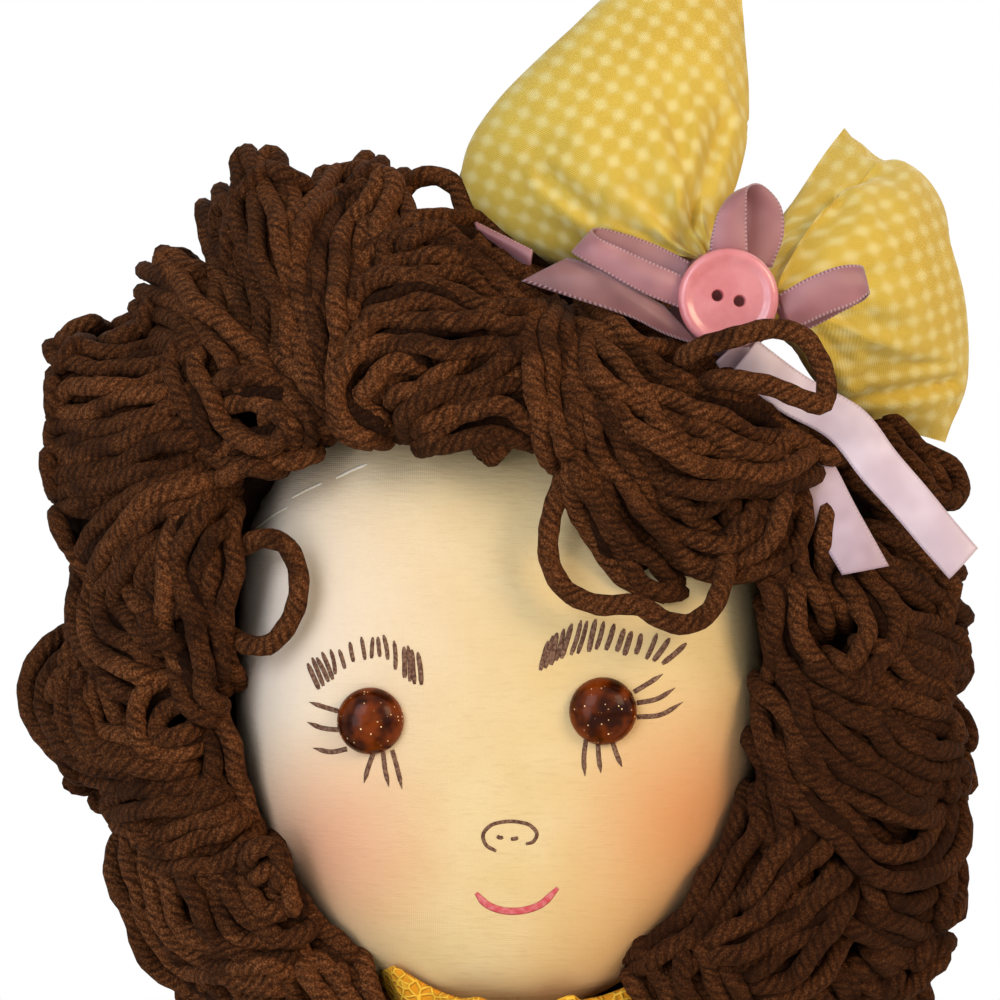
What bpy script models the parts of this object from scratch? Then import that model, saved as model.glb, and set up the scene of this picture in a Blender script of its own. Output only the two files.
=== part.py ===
"""A seated rag doll: stuffed muslin body, yarn hair, a stuffed gingham bow and a gingham dress.

Units are metres, +Z up. The doll faces -Y and +X is at the right hand of someone looking at it.
The origin is on the floor, under the middle of the flat seat. Clock angles go round the face
from +X towards +Z; the polar angle is counted from the doll's front (-Y) to its back.
"""

import math

import bmesh
import bpy
import numpy as np
from mathutils import Matrix, Vector

# Clearances and cuts
PIECE_GAP = 0.0003
SOCKET_GAP = 0.0006
SEAT_GAP = 0.0010
CUT_OVERRUN = 0.03
FLAT_DEPTH = 0.0005

# Torso and neck
TORSO_HEIGHT = 0.150
TORSO_HALF_WIDTH = 0.050
TORSO_DEPTH_SHARE = 0.68
TORSO_HEIGHT_SHARES = (0.0, 0.04, 0.16, 0.32, 0.47, 0.64, 0.80, 0.90, 0.96, 1.0)
TORSO_WIDTH_SHARES = (0.84, 0.94, 1.0, 0.94, 0.86, 0.88, 0.90, 0.80, 0.60, 0.34)
NECK_RADIUS = 0.012
NECK_BALL_RADIUS = 0.016
NECK_BALL_SINK = 0.006
NECK_TOP_DEGREES = 84
CHIN_CLEARANCE = 0.022

# Head
HEAD_HALF_WIDTH = 0.060
HEAD_HALF_HEIGHT = 0.0715
HEAD_HALF_DEPTH = 0.040
HEAD_Y = 0.0
FACE_POWER = 2.6

# Eyes: domed shank buttons
EYE_RADIUS = 0.0074
EYE_DOME_HEIGHT = 0.0052
EYE_RIM = 0.0012
EYE_SLOPE_SHARE = 1 / 60
EYE_LEFT_X = -0.0284
EYE_LEFT_RISE = -0.0046
EYE_RIGHT_X = 0.0226
EYE_RIGHT_RISE = -0.0024

# Yarn hair: how far it stands from the middle of the head at each clock angle
HAIR_FULLEST_REACH = 0.140
HAIR_CLOCK_DEGREES = (
    -56, -45, -36, -28, -14, 0, 14, 27, 40, 52, 66, 80, 92, 98, 102, 108, 114,
    119, 123, 128, 134, 142, 151, 159, 164, 171, 180, 188, 195, 201, 209, 217, 225, 236,
)
HAIR_REACH_SHARES = (
    0.69, 0.79, 0.85, 0.86, 0.80, 0.77, 0.79, 0.80, 0.69, 0.68, 0.69, 0.70, 0.80, 0.89, 0.92, 0.89, 0.99,
    0.96, 0.85, 0.94, 0.88, 0.96, 0.89, 0.82, 0.74, 0.74, 0.77, 0.77, 0.71, 0.69, 0.71, 0.72, 0.71, 0.68,
)
HAIR_LOCKS = {
    "hair_curls_right": (-56, -14),
    "hair_side_right": (-14, 27),
    "hair_crown_right": (27, 66),
    "hair_fringe": (66, 98),
    "hair_crown_left": (98, 128),
    "hair_temple_left": (128, 159),
    "hair_side_left": (159, 195),
    "hair_curls_left": (195, 236),
}
HAIR_NAPE_REACH = 0.088
HAIR_BACK_REACH = 0.084
HAIR_EDGE_SIDE_DEGREES = 83
HAIR_EDGE_RISE_DEGREES = 20
HAIR_EDGE_DROP_DEGREES = 8
HAIR_FULLEST_DEGREES = 92
HAIR_BACK_EDGE_DEGREES = 128
HAIR_BULGE_DEGREES = 11
HAIR_BULGE_HEIGHT_SHARES = (0.72, 0.34)
HAIR_BULGE_LEAN_SHARES = (0.75, 1.0)
HAIR_FRONT_DROP_SHARE = 0.15
HAIR_BACK_DROP_SHARE = 0.10
HAIR_WIDEST_STEP_DEGREES = 8
HAIR_BACK_END_DEGREES = 176
HAIR_PARTING = 0.0007
HAIR_SEAT_GAP = 0.0016

# Stuffed bow, its knot and its button
BOW_X = 0.052
BOW_Y = -0.029
BOW_RISE = 0.091
BOW_SEAT_RADIUS = 0.0985
KNOT_RADIUS = 0.0135
LOBE_HALF_WIDTH = 0.0370
LOBE_HALF_THICKNESS = 0.0172
LOBE_LENGTH_SHARES = (0.0, 0.10, 0.20, 0.30, 0.42, 0.56, 0.70, 0.80, 0.87, 0.93, 0.97, 1.0)
LOBE_THICKNESS_SHARES = (0.34, 0.40, 0.54, 0.76, 0.95, 1.0, 0.91, 0.80, 0.69, 0.54, 0.40, 0.14)
LOBE_LEFT_LENGTH = 0.0755
LOBE_LEFT_AIM = (-0.49, 0.22, 0.86)
LOBE_LEFT_ACROSS = (0.87, 0.0, 0.50)
LOBE_LEFT_WIDTH_SHARES = (0.16, 0.17, 0.30, 0.54, 0.79, 0.94, 1.0, 0.95, 0.80, 0.56, 0.40, 0.20)
LOBE_LEFT_SHIFT_SHARES = (0.0, -0.02, -0.06, -0.11, -0.16, -0.16, -0.09, 0.03, 0.17, 0.36, 0.49, 0.58)
LOBE_RIGHT_LENGTH = 0.0700
LOBE_RIGHT_AIM = (0.755, 0.645, 0.12)
LOBE_RIGHT_ACROSS = (-0.20, -0.02, 0.98)
LOBE_RIGHT_WIDTH_SHARES = (0.16, 0.17, 0.29, 0.46, 0.62, 0.81, 0.95, 1.0, 0.92, 0.80, 0.62, 0.34)
LOBE_RIGHT_SHIFT_SHARES = (0.0, -0.05, -0.06, -0.07, -0.07, -0.05, -0.02, -0.01, -0.12, -0.22, -0.32, -0.42)
BUTTON_RADIUS = 0.0111
BUTTON_THICKNESS = 0.0032
BUTTON_RIM_WIDTH = 0.0022
BUTTON_RIM_SHARES = (0.33, 0.67)
BUTTON_DISH_DEPTH = 0.0009
BUTTON_HOLE_RADIUS = 0.0015
BUTTON_HOLE_SPACING = 0.0054
BUTTON_TURN_DEGREES = -14

# Satin ribbon: each loop and tail has a length and an angle in the doll's front plane
RIBBON_WIDTH = 0.0100
RIBBON_THICKNESS = 0.0006
RIBBON_LIFT = 0.0018
LOOP_LEFT_LENGTH = 0.035
LOOP_LEFT_DEGREES = 158
LOOP_TOP_LENGTH = 0.024
LOOP_TOP_DEGREES = 92
LOOP_RIGHT_LENGTH = 0.032
LOOP_RIGHT_DEGREES = 8
TAIL_LEFT_LENGTH = 0.042
TAIL_LEFT_DEGREES = 188
TAIL_RIGHT_LENGTH = 0.076
TAIL_RIGHT_DEGREES = -47
TAIL_LOWER_LENGTH = 0.070
TAIL_LOWER_DEGREES = -65
LOOP_OPENING = 0.003
LOOP_START_SHARE = 0.80
TAIL_SETTLE_POWER = 1.4

# Arms
ARM_LENGTH = 0.116
ARM_RADIUS = 0.015
ARM_SPREAD_DEGREES = 22
ARM_LENGTH_SHARES = (0.0, 0.12, 0.35, 0.55, 0.72, 0.86, 1.0)
ARM_WIDTH_SHARES = (1.0, 1.0, 0.92, 0.82, 0.68, 0.88, 0.80)
ARM_FLATNESS_SHARES = (1.0, 1.0, 1.0, 0.96, 0.86, 0.64, 0.50)
THUMB_RADIUS = 0.0052
THUMB_LENGTH = 0.013
THUMB_DEGREES = 38
THUMB_ROOT_SHARE = 0.8
SLEEVE_RADIUS = 0.0215
SLEEVE_FIRST_RING = 1
SLEEVE_LAST_RING = 6

# Legs and shoes
LEG_LENGTH = 0.190
LEG_RADIUS = 0.022
LEG_SPACING = 0.054
LEG_LENGTH_SHARES = (0.0, 0.10, 0.34, 0.56, 0.80, 1.0)
LEG_WIDTH_SHARES = (1.0, 1.0, 0.94, 0.84, 0.80, 0.62)
HIP_SETBACK = 0.002
FOOT_HALF_WIDTH = 0.0150
FOOT_HALF_DEPTH = 0.0160
FOOT_HALF_HEIGHT = 0.0320
SHOE_WALL = 0.0024

# Dress
CLOTH_THICKNESS = 0.0020
BODICE_BOTTOM = 0.070
BODICE_GAP = 0.0007
BODICE_NECK_SHARE = 0.985
BODICE_LIFT_START = -1.2
SKIRT_SIDE_REACH = 0.074
SKIRT_FRONT_REACH = 0.084
SKIRT_BACK_REACH = 0.066
SKIRT_FRONT_HEM = 0.0540
SKIRT_SIDE_HEM = 0.022
SKIRT_FOLD_DEPTH = 0.0028
SKIRT_FOLDS = 13
SKIRT_FLARE_POWER = 0.8
SKIRT_DROP_POWERS = (1.15, 1.65)
SKIRT_LAP_SHARE = 0.67
SKIRT_BACK_DROP_SHARE = 0.3
COLLAR_SPREAD = 0.0095
COLLAR_ABOVE_CHIN = 0.0055
COLLAR_CURL_POWER = 1.6
COLLAR_WAVE = 0.0022
COLLAR_WAVES = 11
COLLAR_THICKNESS = 0.0014

# Mesh fineness
TORSO_SIDES = 20
TORSO_LEVEL_SHARES = (0.04, 0.10, 0.18, 0.28, 0.38, 0.48, 0.58, 0.68, 0.77, 0.84, 0.89, 0.93, 0.96, 0.98)
HEAD_SIDES = 24
HEAD_LEVELS = 14
NECK_LEVELS = 8
SOCKET_SIDES = 28
EYE_SIDES = 18
EYE_LEVELS = 6
ARM_SIDES = 12
ARM_STATIONS = 9
THUMB_SIDES = 12
LEG_SIDES = 16
LEG_STATIONS = 9
FOOT_SIDES = 16
ROUND_END_STEPS = 4
ROUND_END_DEGREES = 16
HIP_NOTCH_STEPS = 7
KNOT_SIDES = 16
SEAT_SIDES = 48
LOBE_SIDES = 16
LOBE_STATIONS = 11
BUTTON_SIDES = 28
BUTTON_HOLE_SIDES = 10
LOOP_STEPS = 7
TAIL_STEPS = 8
SKIRT_SIDES = 39
SKIRT_LEVELS = 5
COLLAR_SIDES = 44
COLLAR_LEVELS = 3
HAIR_INNER_POINTS = 9
HAIR_OUTER_POINTS = 6
HAIR_BACK_SIDES = 28
HAIR_BACK_LEVELS = 6
REACH_HALVINGS = 40
SHARP_DEGREES = 40

# Places worked out from the sizes
CHIN_Z = TORSO_HEIGHT + CHIN_CLEARANCE
COLLAR_TOP = CHIN_Z + COLLAR_ABOVE_CHIN
HEAD_Z = CHIN_Z + HEAD_HALF_HEIGHT
NECK_BALL_Z = CHIN_Z + NECK_BALL_SINK
HEAD_CENTRE = Vector((0, HEAD_Y, HEAD_Z))
NECK_PIVOT = Vector((0, HEAD_Y, NECK_BALL_Z))
BOW_CENTRE = HEAD_CENTRE + Vector((BOW_X, BOW_Y, BOW_RISE))
WAIST_SHARE = BODICE_BOTTOM / TORSO_HEIGHT
SHOULDER_Z = TORSO_HEIGHT * TORSO_HEIGHT_SHARES[6]
HIP_Z = LEG_RADIUS - FLAT_DEPTH
HIP_Y = -TORSO_HALF_WIDTH * TORSO_DEPTH_SHARE - HIP_SETBACK

# Colours (sRGB) and roughness
MUSLIN = "#E6D3A8", 0.9
GINGHAM = "#EBD060", 0.9
LACE = "#E2AE22", 0.85
YARN = "#4E3020", 0.95
SATIN = "#B792A8", 0.35
PINK_PLASTIC = "#E08D92", 0.25
EYE_GLASS = "#5A1E0C", 0.08
FELT = "#7A4A5E", 0.95


def linear_colour(hex_text):
    """The linear RGBA value of an sRGB colour written as #RRGGBB."""
    channels = [int(hex_text[i:i + 2], 16) / 255 for i in (1, 3, 5)]
    return [c / 12.92 if c <= 0.04045 else ((c + 0.055) / 1.055) ** 2.4 for c in channels] + [1]


def finish_for(name, finish):
    """A material of the piece's own, from its colour and roughness."""
    made = bpy.data.materials.new(name + "_finish")
    made.use_nodes = True
    shader = made.node_tree.nodes["Principled BSDF"]
    shader.inputs["Base Color"].default_value = linear_colour(finish[0])
    shader.inputs["Roughness"].default_value = finish[1]
    shader.inputs["Metallic"].default_value = 0
    return made


def clear_scene():
    for obj in list(bpy.data.objects):
        bpy.data.objects.remove(obj)


def pivot(name, place):
    """An empty on a joint's axis, which carries the pieces that turn about it."""
    empty = bpy.data.objects.new(name, None)
    empty.location = place
    bpy.context.scene.collection.objects.link(empty)
    return empty


def place_mesh(name, bm, finish, parent):
    """Makes a finished object from a bmesh in world places, held by the parent empty."""
    bmesh.ops.recalc_face_normals(bm, faces=bm.faces)
    bmesh.ops.translate(bm, verts=bm.verts, vec=-parent.location)
    mesh = bpy.data.meshes.new(name)
    bm.to_mesh(mesh)
    bm.free()
    mesh.shade_smooth()
    mesh.set_sharp_from_angle(angle=math.radians(SHARP_DEGREES))
    obj = bpy.data.objects.new(name, mesh)
    obj.parent = parent
    if finish:
        mesh.materials.append(finish_for(name, finish))
    bpy.context.scene.collection.objects.link(obj)
    return obj


def cut(obj, bm, label, operation="DIFFERENCE"):
    """Cuts or joins a hidden helper shape, given in world places, with the object."""
    helper = place_mesh(obj.name + "_" + label, bm, None, obj.parent)
    helper.hide_render = True
    helper.display_type = "WIRE"
    boolean = obj.modifiers.new(label, "BOOLEAN")
    boolean.operation = operation
    boolean.solver = "EXACT"
    boolean.object = helper


def loft(rings, closed=False, poles=None):
    """A bmesh skin over rings of points, with flat ends, ends drawn to two poles, or closed on itself."""
    bm = bmesh.new()
    rows = [[bm.verts.new(p) for p in ring] for ring in rings]
    pairs = list(zip(rows, rows[1:]))
    if closed:
        pairs.append((rows[-1], rows[0]))
    for low, high in pairs:
        for i in range(len(low)):
            j = (i + 1) % len(low)
            bm.faces.new((low[i], low[j], high[j], high[i]))
    for ring, pole in zip((rows[0], rows[-1]), poles or ()):
        tip = bm.verts.new(pole)
        for i in range(len(ring)):
            bm.faces.new((ring[i], ring[(i + 1) % len(ring)], tip))
    if not closed and not poles:
        bm.faces.new(rows[0])
        bm.faces.new(rows[-1])
    return bm


def ball(centre, half_sizes, turn=Matrix.Identity(4), sides=HEAD_SIDES):
    """An ellipsoid bmesh with these half sizes along its own axes."""
    bm = bmesh.new()
    bmesh.ops.create_uvsphere(bm, u_segments=sides, v_segments=sides // 2, radius=1)
    scale = Matrix.Diagonal((*half_sizes, 1))
    bmesh.ops.transform(bm, verts=bm.verts, matrix=Matrix.Translation(centre) @ turn @ scale)
    return bm


def block(low, high):
    """A box bmesh between two corners."""
    bm = bmesh.new()
    bmesh.ops.create_cube(bm, size=1)
    size = Vector(high) - Vector(low)
    middle = (Vector(high) + Vector(low)) / 2
    scale = Matrix.Diagonal((*size, 1))
    bmesh.ops.transform(bm, verts=bm.verts, matrix=Matrix.Translation(middle) @ scale)
    return bm


def smooth_table(places, values, at):
    """A smooth curve through a table: cubic pieces whose slopes are those of the table."""
    places = np.asarray(places, float)
    values = np.asarray(values, float)
    slopes = np.gradient(values, places)
    i = np.clip(np.searchsorted(places, at, side="right") - 1, 0, len(places) - 2)
    span = places[i + 1] - places[i]
    t = (at - places[i]) / span
    rise = (1 + 2 * t) * (1 - t) ** 2 * values[i] + t * t * (3 - 2 * t) * values[i + 1]
    return rise + span * (t * (1 - t) ** 2 * slopes[i] - t * t * (1 - t) * slopes[i + 1])


def oval(centre, across, up, half_across, half_up, sides):
    """A ring of points on an ellipse."""
    turn = 2 * np.pi * np.arange(sides) / sides
    spread = np.outer(np.cos(turn) * half_across, across) + np.outer(np.sin(turn) * half_up, up)
    return spread + np.asarray(centre)


def rounded_stations(count, start_share, end_share):
    """Places along a limb, close together at both round ends, and how wide each end still is there."""
    ends = 1 - np.cos(np.linspace(math.radians(ROUND_END_DEGREES), np.pi / 2, ROUND_END_STEPS))
    middle = np.linspace(start_share, 1 - end_share, count)[1:-1]
    along = np.concatenate([ends * start_share, middle, 1 - ends[::-1] * end_share])
    near = np.clip(np.minimum(along / start_share, (1 - along) / end_share), 0, 1)
    return along, np.sqrt(1 - (1 - near) ** 2)


def torso_rings(grow, low_share, high_share):
    """Oval rings of the torso's form between two shares of its height, grown outwards."""
    levels = [s for s in TORSO_LEVEL_SHARES if low_share < s < high_share]
    shares = np.array([low_share, *levels, high_share])
    half = smooth_table(TORSO_HEIGHT_SHARES, TORSO_WIDTH_SHARES, shares) * TORSO_HALF_WIDTH
    flat = np.interp(shares, (TORSO_HEIGHT_SHARES[-3], 1), (TORSO_DEPTH_SHARE, 1))
    rings = []
    for share, wide, depth_share in zip(shares, half, flat):
        centre = (0, 0, share * TORSO_HEIGHT)
        rings.append(oval(centre, (1, 0, 0), (0, 1, 0), wide + grow, wide * depth_share + grow, TORSO_SIDES))
    return rings


def bodice_rings(grow):
    """Rings of the bodice over the torso, lifted off the shoulders as they are grown."""
    rings = torso_rings(grow, WAIST_SHARE, BODICE_NECK_SHARE)
    lifts = np.clip(np.linspace(BODICE_LIFT_START, 1, len(rings)), 0, 1)
    return [ring + np.array((0, 0, grow * lift)) for ring, lift in zip(rings, lifts)]


def bodice_side():
    """How far out the side of the bodice comes, where the sleeves lie against it."""
    return max(float(ring[:, 0].max()) for ring in bodice_rings(BODICE_GAP + CLOTH_THICKNESS))


def shoulder_place(side):
    """The middle of the arm's round shoulder, on the axis that the arm swings about."""
    return np.array((side * (bodice_side() + PIECE_GAP + ARM_RADIUS), 0, SHOULDER_Z))


def make_torso(root):
    """The stuffed torso with its neck, whose top is a ball that the head turns on."""
    rings = torso_rings(0, 0, 1)
    foot = TORSO_HEIGHT + CLOTH_THICKNESS
    rings.append(oval((0, 0, foot), (1, 0, 0), (0, 1, 0), NECK_RADIUS, NECK_RADIUS, TORSO_SIDES))
    neck_reach = math.acos(NECK_RADIUS / NECK_BALL_RADIUS)
    for angle in np.linspace(-neck_reach, math.radians(NECK_TOP_DEGREES), NECK_LEVELS):
        z = NECK_BALL_Z + NECK_BALL_RADIUS * math.sin(angle)
        radius = NECK_BALL_RADIUS * math.cos(angle)
        rings.append(oval((0, HEAD_Y, z), (1, 0, 0), (0, 1, 0), radius, radius, TORSO_SIDES))
    torso = place_mesh("torso", loft(rings), MUSLIN, root)
    reach = LEG_RADIUS + PIECE_GAP
    arc = [
        (HIP_Y + reach * math.cos(a), HIP_Z + reach * math.sin(a))
        for a in np.linspace(math.pi / 2, 0, HIP_NOTCH_STEPS)
    ]
    far = HIP_Y - LEG_RADIUS - CUT_OVERRUN
    outline = [(far, HIP_Z + reach), *arc, (HIP_Y + reach, -CUT_OVERRUN), (far, -CUT_OVERRUN)]
    side = TORSO_HALF_WIDTH + CUT_OVERRUN
    ends = [[(x, y, z) for y, z in outline] for x in (-side, side)]
    cut(torso, loft(ends), "hip_notch")


def head_front(x, rise):
    """How far the face stands before the head's middle plane, at a place across and above its middle."""
    share = min(1, math.hypot(x / HEAD_HALF_WIDTH, rise / HEAD_HALF_HEIGHT))
    return HEAD_HALF_DEPTH * math.sqrt(1 - share ** FACE_POWER)


def make_head(neck):
    """The stuffed head: an egg whose front is flatter than its back, with a socket for the neck."""
    rings = []
    for level in np.linspace(-np.pi / 2, np.pi / 2, HEAD_LEVELS + 2)[1:-1]:
        s = math.sin(level)
        ring = []
        for turn in 2 * np.pi * np.arange(HEAD_SIDES) / HEAD_SIDES:
            x = HEAD_HALF_WIDTH * math.cos(level) * math.cos(turn)
            rise = HEAD_HALF_HEIGHT * s
            back = HEAD_HALF_DEPTH * math.cos(level) * math.sin(turn)
            y = back if turn <= np.pi else -head_front(x, rise)
            ring.append(HEAD_CENTRE + Vector((x, y, rise)))
        rings.append(ring)
    tall = Vector((0, 0, HEAD_HALF_HEIGHT))
    bm = loft(rings, poles=(HEAD_CENTRE - tall, HEAD_CENTRE + tall))
    head = place_mesh("head", bm, MUSLIN, neck)
    socket = NECK_BALL_RADIUS + SOCKET_GAP
    cut(head, ball(NECK_PIVOT, (socket, socket, socket), sides=SOCKET_SIDES), "neck_socket")


def make_eye(name, x, rise, neck):
    """A domed eye bead: a turned profile whose flat back lies against the face."""
    step = HEAD_HALF_WIDTH * EYE_SLOPE_SHARE
    slope_x = (head_front(x + step, rise) - head_front(x - step, rise)) / (2 * step)
    slope_z = (head_front(x, rise + step) - head_front(x, rise - step)) / (2 * step)
    outward = Vector((-slope_x, -1, -slope_z)).normalized()
    seat = HEAD_CENTRE + Vector((x, -head_front(x, rise), rise)) + outward * PIECE_GAP
    profile = [(EYE_RADIUS - EYE_RIM, 0), (EYE_RADIUS, EYE_RIM)]
    for angle in np.linspace(0, np.pi / 2, EYE_LEVELS)[1:-1]:
        height = EYE_RIM + (EYE_DOME_HEIGHT - EYE_RIM) * math.sin(angle)
        profile.append((EYE_RADIUS * math.cos(angle), height))
    across = outward.orthogonal().normalized()
    up = outward.cross(across)
    rings = [oval(seat + outward * height, across, up, r, r, EYE_SIDES) for r, height in profile]
    place_mesh(name, loft(rings), EYE_GLASS, neck)


def head_reach(direction):
    """How far the head's surface lies from its middle in a direction, by halving."""
    near = 0
    far = 2 * HEAD_HALF_HEIGHT
    power = FACE_POWER if direction[1] < 0 else 2
    for _ in range(REACH_HALVINGS):
        middle = (near + far) / 2
        x, y, z = (middle * c for c in direction)
        flat = math.hypot(x / HEAD_HALF_WIDTH, z / HEAD_HALF_HEIGHT) ** power
        inside = flat + (y / HEAD_HALF_DEPTH) ** 2 < 1
        near, far = (middle, far) if inside else (near, middle)
    return far


def hair_direction(clock, polar):
    """A unit vector from a clock angle round the face and a polar angle from the front, in degrees."""
    clock, polar = math.radians(clock), math.radians(polar)
    return Vector((math.sin(polar) * math.cos(clock), -math.cos(polar), math.sin(polar) * math.sin(clock)))


def hair_side_reach(clock):
    """The silhouette's reach at a clock angle; under the chin it runs over to the nape's reach."""
    if clock > HAIR_CLOCK_DEGREES[-1]:
        span = 360 + HAIR_CLOCK_DEGREES[0] - HAIR_CLOCK_DEGREES[-1]
        low = math.sin(math.pi * (clock - HAIR_CLOCK_DEGREES[-1]) / span)
        side = HAIR_FULLEST_REACH * HAIR_REACH_SHARES[-1]
        return side + (HAIR_NAPE_REACH - side) * low
    return HAIR_FULLEST_REACH * float(np.interp(clock, HAIR_CLOCK_DEGREES, HAIR_REACH_SHARES))


def hair_outer_reach(clock, polar):
    """How far the hair's outer face lies from the head's middle: fullest just behind the ears."""
    reach = hair_side_reach(clock)
    if polar < HAIR_FULLEST_DEGREES:
        share = (HAIR_FULLEST_DEGREES - polar) / (HAIR_FULLEST_DEGREES - hair_edge(clock))
        return reach * (1 - HAIR_FRONT_DROP_SHARE * share * share)
    share = min(1, (polar - HAIR_FULLEST_DEGREES) / (HAIR_BACK_EDGE_DEGREES - HAIR_FULLEST_DEGREES))
    reach = reach * (1 - HAIR_BACK_DROP_SHARE * share * share)
    share = max(0, (polar - HAIR_BACK_EDGE_DEGREES) / (180 - HAIR_BACK_EDGE_DEGREES))
    return reach + (HAIR_BACK_REACH - reach) * share * share * (3 - 2 * share)


def hair_edge(clock):
    """The polar angle at which the hair meets the face: well forward above the brow."""
    height = math.sin(math.radians(clock))
    rise = HAIR_EDGE_RISE_DEGREES * max(0, height) ** 2
    return HAIR_EDGE_SIDE_DEGREES - rise - HAIR_EDGE_DROP_DEGREES * max(0, -height)


def hair_section(clock):
    """The closed outline of the hair's side band at a clock angle: inner face, outer face, front bulge."""
    edge = hair_edge(clock)
    inner = []
    for polar in np.linspace(edge, HAIR_BACK_EDGE_DEGREES, HAIR_INNER_POINTS):
        direction = hair_direction(clock, polar)
        inner.append(HEAD_CENTRE + direction * (head_reach(direction) + HAIR_SEAT_GAP))
    outer = []
    for polar in np.linspace(HAIR_BACK_EDGE_DEGREES, edge, HAIR_OUTER_POINTS):
        outer.append(HEAD_CENTRE + hair_direction(clock, polar) * hair_outer_reach(clock, polar))
    low = (inner[0] - HEAD_CENTRE).length
    high = (outer[-1] - HEAD_CENTRE).length
    for share, lean_share in zip(HAIR_BULGE_HEIGHT_SHARES, HAIR_BULGE_LEAN_SHARES):
        direction = hair_direction(clock, edge - HAIR_BULGE_DEGREES * lean_share)
        outer.append(HEAD_CENTRE + direction * (low + (high - low) * share))
    return inner, outer


def make_lock(name, start, end, neck):
    """One sewn bundle of yarn: the hair's outline carried round the head between two clock angles."""
    parting = math.degrees(HAIR_PARTING / HEAD_HALF_WIDTH) / 2
    marks = [c for c in HAIR_CLOCK_DEGREES if start <= c <= end]
    halves = [(a + b) / 2 for a, b in zip(marks, marks[1:]) if b - a > HAIR_WIDEST_STEP_DEGREES]
    clocks = sorted([start + parting, *marks[1:-1], *halves, end - parting])
    sections = [hair_section(c) for c in clocks]
    rings = [inner + outer for inner, outer in sections]
    place_mesh(name, loft(rings), YARN, neck)


def make_back_hair(neck):
    """The bowl of yarn over the back of the head, behind the locks."""
    parting = math.degrees(HAIR_PARTING / HEAD_HALF_WIDTH)
    clocks = np.linspace(HAIR_CLOCK_DEGREES[0], HAIR_CLOCK_DEGREES[0] + 360, HAIR_BACK_SIDES + 1)[:-1]
    polars = np.linspace(HAIR_BACK_EDGE_DEGREES + parting, HAIR_BACK_END_DEGREES, HAIR_BACK_LEVELS)
    rings = []
    for polar in polars[::-1]:
        directions = [hair_direction(clock, polar) for clock in clocks]
        rings.append([HEAD_CENTRE + d * (head_reach(d) + HAIR_SEAT_GAP) for d in directions])
    for polar in polars:
        reaches = [hair_outer_reach(clock, polar) for clock in clocks]
        rings.append([HEAD_CENTRE + hair_direction(c, polar) * r for c, r in zip(clocks, reaches)])
    place_mesh("hair_back", loft(rings), YARN, neck)


def make_lobe(name, length, aim, across, width_shares, shift_shares, neck):
    """One stuffed lobe of the bow: gathered at the knot, fullest before its far seam, which runs aslant."""
    aim = Vector(aim).normalized()
    across = Vector(across).normalized()
    through = aim.cross(across).normalized()
    stations = np.linspace(0, 1, LOBE_STATIONS)
    widths = smooth_table(LOBE_LENGTH_SHARES, width_shares, stations) * LOBE_HALF_WIDTH
    shifts = smooth_table(LOBE_LENGTH_SHARES, shift_shares, stations) * LOBE_HALF_WIDTH
    depths = smooth_table(LOBE_LENGTH_SHARES, LOBE_THICKNESS_SHARES, stations) * LOBE_HALF_THICKNESS
    rings = []
    for share, wide, shift, deep in zip(stations, widths, shifts, depths):
        centre = BOW_CENTRE + aim * (share * length) + across * shift
        rings.append(oval(centre, across, through, wide, deep, LOBE_SIDES))
    lobe = place_mesh(name, loft(rings), GINGHAM, neck)
    seat = BOW_SEAT_RADIUS + SEAT_GAP
    cut(lobe, ball(HEAD_CENTRE, (seat, seat, seat), sides=SEAT_SIDES), "hair_seat")
    knot = KNOT_RADIUS + PIECE_GAP
    cut(lobe, ball(BOW_CENTRE, (knot, knot, knot), sides=KNOT_SIDES), "knot_seat")


def make_knot(neck):
    """The ribbon-wrapped middle of the bow, which sits on the hair."""
    bm = ball(BOW_CENTRE, (KNOT_RADIUS, KNOT_RADIUS, KNOT_RADIUS), sides=KNOT_SIDES)
    knot = place_mesh("bow_knot", bm, SATIN, neck)
    seat = BOW_SEAT_RADIUS + SEAT_GAP
    cut(knot, ball(HEAD_CENTRE, (seat, seat, seat), sides=SEAT_SIDES), "hair_seat")


def make_button(neck):
    """The round two-hole button, with a raised rim, sewn on the bow's knot."""
    back = BOW_CENTRE + Vector((0, -KNOT_RADIUS - PIECE_GAP, 0))
    round_edge = BUTTON_DISH_DEPTH
    profile = [
        (BUTTON_RADIUS - round_edge, 0),
        (BUTTON_RADIUS, round_edge),
        (BUTTON_RADIUS, BUTTON_THICKNESS - round_edge),
        (BUTTON_RADIUS - BUTTON_RIM_WIDTH * BUTTON_RIM_SHARES[0], BUTTON_THICKNESS),
        (BUTTON_RADIUS - BUTTON_RIM_WIDTH * BUTTON_RIM_SHARES[1], BUTTON_THICKNESS),
        (BUTTON_RADIUS - BUTTON_RIM_WIDTH, BUTTON_THICKNESS - BUTTON_DISH_DEPTH),
    ]
    rings = [oval(back - Vector((0, h, 0)), (1, 0, 0), (0, 0, 1), r, r, BUTTON_SIDES) for r, h in profile]
    button = place_mesh("bow_button", loft(rings), PINK_PLASTIC, neck)
    turn = math.radians(BUTTON_TURN_DEGREES)
    for side, label in ((-1, "left_hole"), (1, "right_hole")):
        shift = side * BUTTON_HOLE_SPACING / 2
        centre = back + Vector((shift * math.cos(turn), 0, shift * math.sin(turn)))
        r = BUTTON_HOLE_RADIUS
        through = [centre + Vector((0, y, 0)) for y in (CUT_OVERRUN, -CUT_OVERRUN)]
        ends = [oval(end, (1, 0, 0), (0, 0, 1), r, r, BUTTON_HOLE_SIDES) for end in through]
        cut(button, loft(ends), label)


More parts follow.
